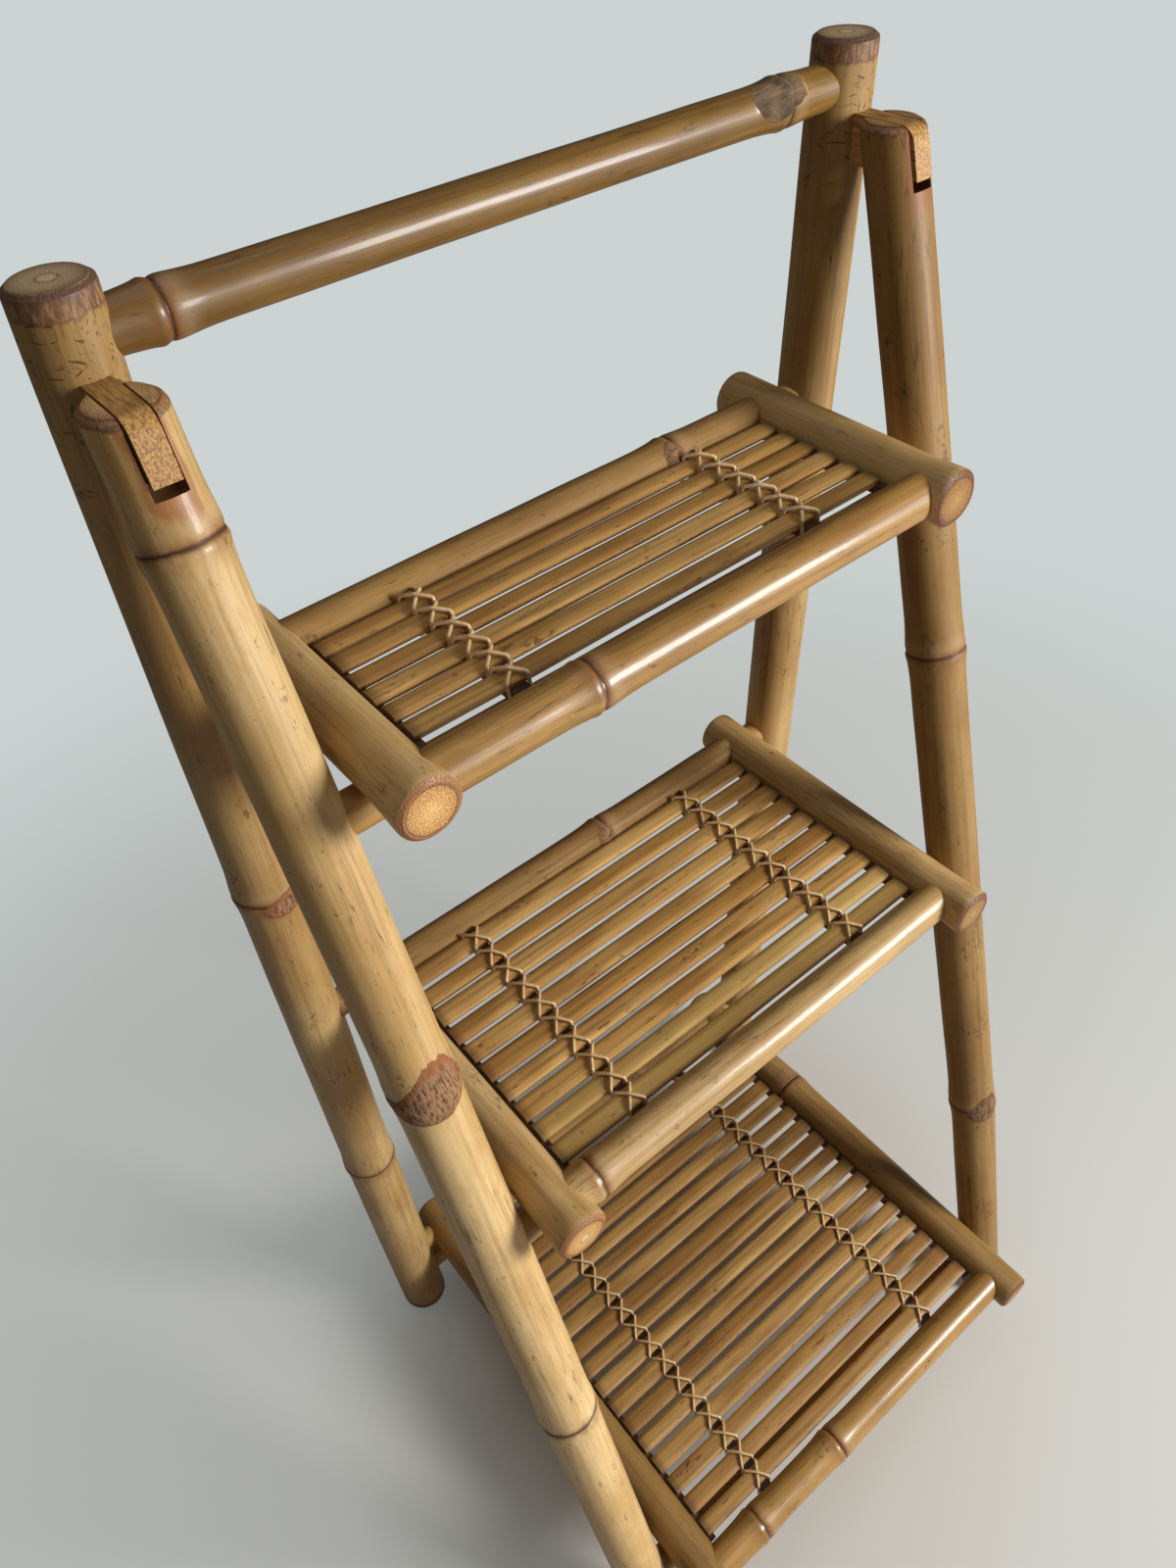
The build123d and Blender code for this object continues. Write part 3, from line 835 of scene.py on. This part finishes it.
for seed, (node, look) in enumerate(legs.items(), start=1):
    x = -leg_x if node.endswith("left") else leg_x
    rear = node.startswith("rear")
    axis_y = rear_y if rear else front_y
    top = rear_height if rear else front_height
    slant = 1.0 / math.cos(math.atan2(rear_lean, rear_height) if rear else front_lean)
    looks = {**(rear_look if rear else front_look), **look}
    rings = [height * slant for height in looks.pop("rings")]
    looks["scar_at"] = looks.get("scar_at", no_ring) * slant
    mesh = culm(
        (x, axis_y(0.0), 0.0), (x, axis_y(top), top), looks.pop("radius"), leg_seed_step * seed,
        leg_skin, rings, side=(1.0, 0.0, 0.0), start_cut=upright, end_cut=upright, sides=48,
        **looks,
    )
    if not rear:
        hollow_back(mesh, x)
    place_piece(node + "_cane", mesh, "rear_frame" if rear else "front_frame", "leg_bamboo", node)

# %% [markdown]
# ## Bars and rails
# Crosswise canes run into the poles that carry them, as round tenons do. Sockets could
# be cut for them, but nobody sees inside a joint, so the same tree makes each as a cane
# that is long enough. A rear rail also has the turned ends on which its shelf swings,
# so two canes are joined there.

# %% Bars between the legs
handle_z, handle_radius = 0.899, 0.0104
stretcher_z, stretcher_radius = 0.046, 0.009
crossbar_radius = 0.010
tenon_short = 0.006
bar_reach = leg_x - tenon_short
handle_seed, stretcher_seed, crossbar_seed = 2.1, 2.6, 3.3


def bar(node, body, y, z, radius, seed, slot, skin=rail_skin, **looks):
    mesh = culm((-bar_reach, y, z), (bar_reach, y, z), radius, seed, skin, **looks)
    place_piece(node + "_cane", mesh, body, slot, node)


bar(
    "handle_rail", "rear_frame", rear_y(handle_z), handle_z, handle_radius, handle_seed,
    "rail_bamboo", olive_skin, rings=(0.027, 0.340), swell=0.0012, scar_at=0.333, scar_turn=0.9,
    scar_rise=0.017, scar_drop=0.017, scar_close=1.8, dull=0.9, shade=0.8, gloss=0.45,
)
bar(
    "rear_stretcher", "rear_frame", rear_y(stretcher_z), stretcher_z, stretcher_radius,
    stretcher_seed, "rail_bamboo",
)

rail_x, rail_radius = 0.1605, 0.0145
shelf_z = {"top": 0.739, "middle": 0.4675, "bottom": 0.089}
rest_gap = 0.0003
crossbar_drop = rail_radius + rest_gap + crossbar_radius
for seed, (shelf, z) in enumerate(shelf_z.items()):
    height = z - crossbar_drop
    bar(
        f"{shelf}_crossbar", "front_frame", front_y(height), height, crossbar_radius,
        crossbar_seed + seed, "rail_bamboo",
    )

# %% Shelf frames
front_rail_radius, rear_rail_radius, pivot_radius = 0.012, 0.011, 0.009
rail_short = 0.003
rail_reach = rail_x - rail_short
pivot_reach = 0.1875
side_seed, front_seed, rear_seed, pivot_seed = 4.2, 5.7, 6.4, 6.9
long_rail, long_rail_ring = 0.3, 0.248
front_inset = {"top": 0.016, "middle": 0.0235, "bottom": 0.0205}
# Painted shade: shade darkens the rails that get less light, the lowest and the right-hand side rails
# most; on the front rails it is partly their own deeper tone.
front_shade = {"top": 0.35, "middle": 0.45, "bottom": 0.2}
side_shade = {
    ("top", "left"): 0.3, ("middle", "left"): 0.35, ("bottom", "left"): 0.9,
    ("top", "right"): 0.3, ("middle", "right"): 0.3, ("bottom", "right"): 0.8,
}
front_gloss = {"top": 0.55, "middle": 0.9, "bottom": 0.7}
front_skin = {"top": rail_skin, "middle": leg_skin, "bottom": rail_skin}
front_rings = {"top": (-0.068,), "middle": (-0.136,), "bottom": (-0.112, -0.032)}
rear_rings = {"top": (0.085,), "middle": (0.030,), "bottom": (0.058,)}


def joined_mesh(*meshes):
    """Several meshes as one."""
    whole = bmesh.new()
    for mesh in meshes:
        whole.from_mesh(mesh)
    result = meshes[0].copy()
    whole.to_mesh(result)
    whole.free()
    return result


for seed, (shelf, z) in enumerate(shelf_z.items()):
    body = f"{shelf}_shelf"
    for side, x in (("left", -rail_x), ("right", rail_x)):
        node = f"{body}_side_rail_{side}"
        low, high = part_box(node)
        mesh = culm(
            (x, low.y, z), (x, high.y, z), rail_radius, side_seed + seed + x, leg_skin,
            rings=(long_rail_ring,) if high.y - low.y > long_rail else (), burn=0.15, rim=0.003,
            flare=0.0 if shelf == "bottom" else 0.0013, pith=float(shelf == "middle"),
            # The cut ends of the right-hand side rails get painted shade.
            shade=side_shade[shelf, side], dull=float(side == "right"),
        )
        place_piece(node + "_cane", mesh, body, "rail_bamboo", node)
    low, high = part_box(f"{body}_side_rail_left")
    y = low.y + front_inset[shelf]
    node = f"{body}_front_rail"
    mesh = culm(
        (-rail_reach, y, z), (rail_reach, y, z), front_rail_radius, front_seed + seed,
        front_skin[shelf], [rail_reach + ring for ring in front_rings[shelf]],
        shade=front_shade[shelf], gloss=front_gloss[shelf],
    )
    place_piece(node + "_cane", mesh, body, "rail_bamboo", node)
    y = rear_y(z)
    node = f"{body}_rear_rail"
    rail = culm(
        (-rail_reach, y, z), (rail_reach, y, z), rear_rail_radius, rear_seed + seed, matte_skin,
        [rail_reach + ring for ring in rear_rings[shelf]], shade=0.3, gloss=0.2,
        scar_at=rail_reach + rear_rings[shelf][0], scar_turn=1.1, scar_rise=0.004,
        scar_drop=0.009, scar_close=3.2, dull=0.35,
    )
    pivot = culm(
        (-pivot_reach, y, z), (pivot_reach, y, z), pivot_radius, pivot_seed + seed, rail_skin,
        lumps=0.0,
    )
    place_piece(node + "_cane", joined_mesh(rail, pivot), body, "rail_bamboo", node)

# %% [markdown]
# ## Slats
# A deck is a row of split canes, flat below and crowned above. An Array modifier would
# make them all alike. Here one slat is a box with its top bent to the crown, and the
# tree sets it on a line of points, each a little wider, thinner or more crooked than
# the next, as split cane is.

# %% Slat material
def split_skin(name):
    """Split cane: browner skin with a tone of its own for every slat, and painted light and shade."""
    material, graph, shader = new_material(name, Coat_Roughness=0.16)
    smooth = graph.smooth
    place = read_attribute(graph, "grain", "Vector")
    tone = read_attribute(graph, "tone")
    moved = graph.vector("ADD", place, graph.joined(tone * 9.0, tone * 5.0, tone * 3.0))

    def stretched(along, across, detail=2.0, roughness=0.55):
        """Noise that is drawn out along the slat."""
        sized = graph.vector("MULTIPLY", moved, (along, across, across))
        return graph.noise(sized, detail, roughness)

    fibres = stretched(16.0, 1300.0, 3.0)
    streaks = stretched(6.0, 300.0)
    patches = stretched(14.0, 60.0)
    specks = smooth(stretched(110.0, 480.0, 2.0, 0.6), 0.66, 0.72)
    blotch = smooth(stretched(190.0, 420.0, 2.0, 0.6), 0.5, 0.58)
    blotch = blotch * smooth(stretched(17.0, 70.0), 0.66, 0.71)
    # Darker towards the slat ends, where they meet the side rails.
    darker_ends = 1.0 - smooth(read_attribute(graph, "end_gap"), 0.0005, 0.007)
    colour = layered(
        graph, paint(188, 139, 68),
        (tone, paint(222, 177, 104)),
        (smooth(patches, 0.4, 0.66) * 0.7, paint(162, 112, 49)),
        (smooth(streaks, 0.42, 0.72) * 0.45, paint(120, 80, 36)),
        (smooth(fibres, 0.4, 0.72) * 0.35, paint(110, 72, 32)),
        # Painted light: the front slats marked green are lighter as well as greener, against the
        # shadow that the front rail casts on them.
        (read_attribute(graph, "green") * 0.35, paint(192, 168, 98)),
        (specks * 0.6, paint(62, 38, 18)),
        (blotch * 0.7, paint(74, 42, 18)),
        (darker_ends * 0.6, paint(70, 44, 22)),
    )
    # Painted shade: the shade mark darkens a deck that gets less light.
    colour = mixed(graph, read_attribute(graph, "shade"), colour, shade_tint, "MULTIPLY")
    height = fibres * 0.3 + streaks * 0.5 - specks * 0.3
    graph.put(shader.inputs["Roughness"], 0.46 + fibres * 0.2)
    graph.put(shader.inputs["Coat Weight"], 0.04 + streaks * 0.12)
    return finished(material, graph, shader, colour, height, 0.0005, 0.7)


slat_skin = split_skin("slat_skin")

# %% Slat tree
slat_graph, given = new_tree("slats", {
    "Count": "Int", "First": "Vector", "Pitch": "Float", "Length": "Float", "Width": "Float",
    "Edge": "Float", "Crown": "Float", "Wander": "Float", "Green": "Int", "Shade": "Float",
    "Seed": "Int", "Skin": "Material",
})


def one_slat(graph, given):
    """A box with its top bent to the crown, and the marks that its finish reads."""
    box = graph.node(
        "GeometryNodeMeshCube", None,
        {"Size": graph.joined(given["Length"], given["Width"], 1.0),
         "Vertices X": 60, "Vertices Y": 11, "Vertices Z": 3},
    )
    x, y, z = graph.parts(graph.node("GeometryNodeInputPosition"))
    out = y * 2.0 / given["Width"]
    top = given["Edge"] + (given["Crown"] - given["Edge"]) * (1.0 - out * out * out * out)
    slat = graph.node(
        "GeometryNodeSetPosition", None,
        {"Geometry": box, "Position": graph.joined(x, y, (z + 0.5) * top)},
    )
    slat = keep_attribute(
        graph, slat, "grain", graph.node("GeometryNodeInputPosition"), "FLOAT_VECTOR"
    )
    return keep_attribute(graph, slat, "end_gap", given["Length"] * 0.5 - abs(x))


def grow_slat_tree(graph, given):
    """A deck: the slat on a line of points, varied and made to wander."""
    most_turn, shortest, slimmest, stoutest = 0.0035, 0.993, 0.9, 1.06
    waves, lift_share, crease = 9.0, 0.4, 0.6
    row = graph.node(
        "GeometryNodeMeshLine", None,
        {"Count": given["Count"], "Start Location": given["First"],
         "Offset": graph.joined(0.0, given["Pitch"] * -1.0, 0.0)},
    )

    def chance(low, high, extra):
        return graph.node(
            "FunctionNodeRandomValue", {"data_type": "FLOAT"},
            {"Min": low, "Max": high, "Seed": given["Seed"] + extra},
        )

    deck = graph.node(
        "GeometryNodeInstanceOnPoints", None,
        {"Points": row, "Instance": one_slat(graph, given),
         "Rotation": graph.joined(0.0, 0.0, chance(-most_turn, most_turn, 1.0)),
         "Scale": graph.joined(chance(shortest, 1.0, 2.0), chance(slimmest, stoutest, 3.0),
                               chance(slimmest, stoutest, 4.0))},
    )
    first_green = given["Count"] - given["Green"] - 0.5
    for name, value in {
        "tone": chance(0.0, 1.0, 5.0), "shade": given["Shade"],
        "green": graph.node("GeometryNodeInputIndex") > first_green,
    }.items():
        deck = keep_attribute(graph, deck, name, value, domain="INSTANCE")
    deck = realized(graph, deck)
    x = graph.parts(graph.node("GeometryNodeInputPosition"))[0]
    tone = graph.node(
        "GeometryNodeInputNamedAttribute", {"data_type": "FLOAT"}, {"Name": "tone"}
    )

    def wander(level):
        """A slow wave along a slat, of its own for every tone."""
        wave = graph.noise(graph.joined(x * waves, tone * 40.0, level), 1.0) - 0.5
        return wave * given["Wander"]

    drift = graph.joined(0.0, wander(0.0), wander(7.0) * lift_share)
    deck = graph.node("GeometryNodeSetPosition", None, {"Geometry": deck, "Offset": drift})
    close_tree(graph, dressed(graph, shade_by_angle(graph, deck, crease), given["Skin"]))


grow_slat_tree(slat_graph, given)

# %% [markdown]
# ## Lashings
# Two strands of split cane hold every slat to its batten. Each goes over a slat on the
# slant, down the gap, under the batten and up again, one to the left and one to the
# right, so that they cross over each slat. One loop could be copied along the row, but
# its ends would have to meet the next. So the tree numbers the points of a whole route,
# five to a slat, lets the number choose where each point lies, and draws one tube.

# %% Cane strand material
def cane_strand(name):
    """Pale split cane with darker nicks."""
    material, graph, shader = new_material(name, Roughness=0.42, Coat_Weight=0.3)
    place = graph.node("ShaderNodeTexCoord", None, None, "Object")
    cloud = graph.noise(graph.scaled(place, 160.0), 2.0)
    fine = graph.noise(graph.scaled(place, 900.0), 2.0)
    colour = layered(
        graph, paint(182, 146, 98),
        (cloud, paint(234, 205, 158)),
        (graph.smooth(fine, 0.5, 0.75) * 0.4, paint(104, 72, 36)),
    )
    return finished(material, graph, shader, colour, fine, 0.0003, 0.6)


lash_cane = cane_strand("lash_cane")

# %% Lashing tree
lash_graph, given = new_tree("lashing", {
    "Count": "Int", "First": "Vector", "Pitch": "Float", "Half Width": "Float",
    "Under": "Float", "Edge": "Float", "Top": "Float", "Strand": "Float", "Seed": "Int",
    "Cane": "Material",
})


def grow_lash_tree(graph, given):
    """Two strands of opposite hand, each a tube along a route of five points to a slat."""
    corners, strand_sides, bend_radius, crease = 5, 8, 0.0016, 1.2
    slack, layer_rise, slat_lip = 0.0005, 2.1, 0.1
    index = graph.node("GeometryNodeInputIndex")
    loop = graph.math("FLOOR", (index + 0.5) / corners)
    corner = index - loop * corners
    low, edge, top = given["Under"], given["Edge"], given["Top"]

    def choose(*values):
        """The value that belongs to a point's number in its loop."""
        return graph.node(
            "GeometryNodeIndexSwitch", {"data_type": "FLOAT", "choices": len(values)},
            {"Index": corner, **{place + 1: value for place, value in enumerate(values)}},
        )

    sideways = choose(-1.0, -1.0, 0.0, 1.0, 1.0)
    forward = choose(0.0, slat_lip, 0.5, 1.0 - slat_lip, 1.0)
    x, y, z = graph.parts(given["First"])
    both = graph.tree.nodes.new("GeometryNodeJoinGeometry")
    for hand, layer in ((-1.0, 0.0), (1.0, 1.0)):
        rise = given["Strand"] * layer_rise * layer
        upward = choose(low - rise, edge + rise * 0.3, top + rise, edge + rise * 0.3, low - rise)
        loose = graph.node(
            "FunctionNodeRandomValue", {"data_type": "FLOAT"},
            {"Min": -slack, "Max": slack, "Seed": given["Seed"] + layer},
        )
        spot = graph.joined(
            x + sideways * hand * (given["Half Width"] + rise * 0.15) + loose,
            y - given["Pitch"] * (loop + forward),
            z + upward,
        )
        route = graph.node("GeometryNodeMeshLine", None, {"Count": given["Count"] * corners})
        route = graph.node(
            "GeometryNodeSetPosition", None, {"Geometry": route, "Position": spot}
        )
        route = graph.node("GeometryNodeMeshToCurve", None, {"Mesh": route})
        route = graph.node(
            "GeometryNodeFilletCurve", {"mode": "POLY"},
            {"Curve": route, "Count": 3, "Radius": bend_radius, "Limit Radius": True},
        )
        ring = graph.node(
            "GeometryNodeCurvePrimitiveCircle", {"mode": "RADIUS"},
            {"Resolution": strand_sides, "Radius": given["Strand"]},
        )
        strand = graph.node(
            "GeometryNodeCurveToMesh", None,
            {"Curve": route, "Profile Curve": ring, "Fill Caps": True},
        )
        graph.put(both.inputs[0], strand)
    lashing = shade_by_angle(graph, Term(graph, both.outputs[0]), crease)
    close_tree(graph, dressed(graph, realized(graph, lashing), given["Cane"]))


grow_lash_tree(lash_graph, given)

# %% [markdown]
# ## Decks
# Every deck takes its first slat from the CAD slats and then follows its own pitch. Each
# slat could be measured, but the lashings need the pitch as well, and with one value
# for both they always fit. The two lashings start half a pitch before the first slat,
# over the rows where the battens lie.

# %% Decks
deck_rise, slat_edge, slat_crown, slat_wander = 0.001, 0.0026, 0.0037, 0.0014
slat_share = {"top": 0.74, "middle": 0.79, "bottom": 0.77}
# Painted shade: the bottom deck lies under the other two and is painted darker.
deck_shade = {"top": 0.0, "middle": 0.0, "bottom": 0.4}
batten_width, batten_height, lash_row, strand = 0.009, 0.007, 0.091, 0.00105
lash_side, lash_edge, lash_top = strand * 0.9, strand * 0.8, strand * 1.1
cad_slat_share = 0.75
slat_pitch = {"top": 0.0148, "middle": 0.0167, "bottom": 0.0171}
slat_count = {"top": 6, "middle": 10, "bottom": 18}
# The front slats of the middle deck are greener, and painted lighter against the front rail's shadow.
lit_green_slats = {"top": 0, "middle": 2, "bottom": 0}
slat_seed, slat_seed_step, lash_seed = 11, 10, 5
for seed, (shelf, z) in enumerate(shelf_z.items()):
    body = f"{shelf}_shelf"
    deck = z + deck_rise
    pitch, count = slat_pitch[shelf], slat_count[shelf]
    low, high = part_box(f"{body}_slats")
    first_slat = high.y - cad_slat_share * pitch / 2
    mesh = grown_mesh(slat_graph, "slats", {
        "Count": count, "First": (0.0, first_slat, deck), "Pitch": pitch,
        "Length": high.x - low.x, "Width": pitch * slat_share[shelf], "Edge": slat_edge,
        "Crown": slat_crown, "Wander": slat_wander, "Green": lit_green_slats[shelf],
        "Shade": deck_shade[shelf], "Seed": slat_seed + slat_seed_step * seed, "Skin": slat_skin,
    })
    place_piece(f"{body}_slat_row", mesh, body, "split_bamboo", f"{body}_slats")
    for side, x in (("left", -lash_row), ("right", lash_row)):
        mesh = grown_mesh(lash_graph, "lashing", {
            "Count": count, "First": (x, first_slat + pitch / 2, deck), "Pitch": pitch,
            "Half Width": batten_width / 2 + lash_side, "Under": -batten_height - strand,
            "Edge": slat_crown + lash_edge, "Top": slat_crown + lash_top,
            "Strand": strand, "Seed": lash_seed + seed, "Cane": lash_cane,
        })
        node = f"{body}_lashing_{side}"
        place_piece(node + "_strands", mesh, body, "cane_strand", node)

# %% [markdown]
# ## Dark sticks and hinge wood
# The battens under the lashings are plain sawn sticks, so each is one box from a small
# tree. The tongues and the ledges keep their CAD shapes, which are right as they are.
# All these finishes read Object coordinates, stretched along each stick. The hinge pins
# end below the skin of the tapered legs, so each gets a shorter peg.

# %% Stick finishes
def stick_wood(name, pale, dark, stretch):
    """Plain wood with streaks along one direction and fine dark pores."""
    material, graph, shader = new_material(name, Roughness=0.55)
    place = graph.node("ShaderNodeTexCoord", None, None, "Object")
    streaks = graph.noise(graph.vector("MULTIPLY", place, stretch), 3.0)
    pores = graph.noise(graph.scaled(place, 1300.0), 1.0)
    colour = layered(
        graph, pale,
        (graph.smooth(streaks, 0.3, 0.7), dark),
        (graph.smooth(pores, 0.56, 0.7) * 0.6, paint(88, 56, 28)),
    )
    return finished(material, graph, shader, colour, streaks + pores * 0.4, 0.0004, 0.6)


tongue_wood = stick_wood("tongue_wood", paint(200, 152, 84), paint(142, 98, 49), (900, 90, 900))
# Its dark tone is partly painted shade: the battens and ledges are as dark as they look in the shade
# under the slats.
dark_stick = stick_wood("dark_stick", paint(92, 62, 34), paint(54, 34, 18), (500, 40, 500))

# %% Battens
batten_graph, given = new_tree("batten", {"Low": "Vector", "High": "Vector", "Wood": "Material"})


def grow_batten_tree(graph, given):
    """A box between its lowest and highest corners."""
    size = graph.vector("SUBTRACT", given["High"], given["Low"])
    middle = graph.scaled(graph.vector("ADD", given["Low"], given["High"]), 0.5)
    stick = graph.node("GeometryNodeMeshCube", None, {"Size": size})
    stick = graph.node("GeometryNodeTransform", None, {"Geometry": stick, "Translation": middle})
    close_tree(graph, dressed(graph, realized(graph, stick), given["Wood"]))


grow_batten_tree(batten_graph, given)
for shelf in shelf_z:
    for side, x in (("left", -lash_row), ("right", lash_row)):
        node = f"{shelf}_shelf_batten_{side}"
        low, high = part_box(node)
        mesh = grown_mesh(batten_graph, "batten", {
            "Low": (x - batten_width / 2, low.y, low.z),
            "High": (x + batten_width / 2, high.y, high.z), "Wood": dark_stick,
        })
        place_piece(node + "_stick", mesh, f"{shelf}_shelf", "dark_stick", node)

# %% Tongues, ledges and pegs
for node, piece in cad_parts.items():
    for word, finish in (("tongue", tongue_wood), ("ledge", dark_stick)):
        if word in node:
            piece.data.materials.clear()
            piece.data.materials.append(finish)

peg_half, peg_radius, peg_seed = 0.0132, 0.0039, 7.7
for side, x in (("left", -leg_x), ("right", leg_x)):
    node = f"hinge_pin_{side}"
    mesh = culm(
        (x - peg_half, hinge_y, hinge_z), (x + peg_half, hinge_y, hinge_z), peg_radius, peg_seed,
        rail_skin, sides=20, lumps=0.0,
    )
    place_piece(node + "_peg", mesh, "front_frame", "hinge_wood", node)

# %% [markdown]
# ## Floor and light
# The light comes from in front, low and to the right. One soft lamp gives it, a weaker
# one hangs overhead, and the world fills the shade. The floor catches the shadow near
# the legs. Further away it fades, for camera rays only, into a plain pale backdrop, and
# the world shows the same tint to the camera, so no horizon is seen.

# %% Floor
backdrop_tint = paint(204, 211, 210)


def shown_to_camera(graph, share, plain, shown, surface):
    """Mixes what the camera alone sees into a shader, by a share from 0 to 1."""
    seen = graph.node("ShaderNodeLightPath", None, None, "Is Camera Ray")
    blend = graph.node("ShaderNodeMixShader", None, {0: seen * share, 1: plain, 2: shown})
    graph.put(surface, blend)


floor_half = 12.0
floor_mesh = bpy.data.meshes.new("floor")
floor_mesh.from_pydata(
    [(-floor_half, -floor_half, 0), (floor_half, -floor_half, 0),
     (floor_half, floor_half, 0), (-floor_half, floor_half, 0)], [], [(0, 1, 2, 3)]
)
floor = bpy.data.objects.new("floor", floor_mesh)
bpy.context.scene.collection.objects.link(floor)
floor_finish, graph, shader = new_material("floor_finish", Roughness=0.7)
shader.inputs["Base Color"].default_value = paint(206, 201, 192)
place = graph.node("ShaderNodeTexCoord", None, None, "Object")
distance = graph.vector("LENGTH", place, out="Value")
fade = graph.smooth(distance, 0.3, 1.4) * 0.6 + graph.smooth(distance, 0.16, 0.38) * 0.4
shown_to_camera(
    graph, fade, Term(graph, shader.outputs[0]),
    graph.node("ShaderNodeEmission", None, {"Color": backdrop_tint, "Strength": 1.0}),
    graph.tree.nodes["Material Output"].inputs["Surface"],
)
floor_mesh.materials.append(floor_finish)
print("floor:", 2 * floor_half, "m square")

# %% World and lamps
fill_tint, fill_strength = (1.0, 0.90, 0.74, 1.0), 0.09
world = bpy.data.worlds.new("fill")
world.use_nodes = True
graph = Graph(world.node_tree)
fill = world.node_tree.nodes["Background"]
fill.inputs["Color"].default_value = fill_tint
fill.inputs["Strength"].default_value = fill_strength
shown_to_camera(
    graph, 1.0, Term(graph, fill.outputs[0]),
    graph.node("ShaderNodeBackground", None, {"Color": backdrop_tint, "Strength": 1.0}),
    graph.tree.nodes["World Output"].inputs["Surface"],
)
bpy.context.scene.world = world


def soft_lamp(name, place, target, size, power):
    """A square area lamp that looks at a point."""
    lamp = bpy.data.lights.new(name, "AREA")
    lamp.size = size
    lamp.energy = power
    holder = bpy.data.objects.new(name, lamp)
    holder.location = place
    holder.rotation_mode = "QUATERNION"
    holder.rotation_quaternion = (Vector(target) - Vector(place)).to_track_quat("-Z", "Y")
    bpy.context.scene.collection.objects.link(holder)
    print(name, "watts:", power)


soft_lamp("key_lamp", (0.9, -1.32, 1.10), target=(0.0, 0.0, 0.5), size=0.6, power=42.0)
soft_lamp("top_lamp", (-0.2, 0.3, 2.6), target=(0.0, 0.0, 0.4), size=1.6, power=7.0)
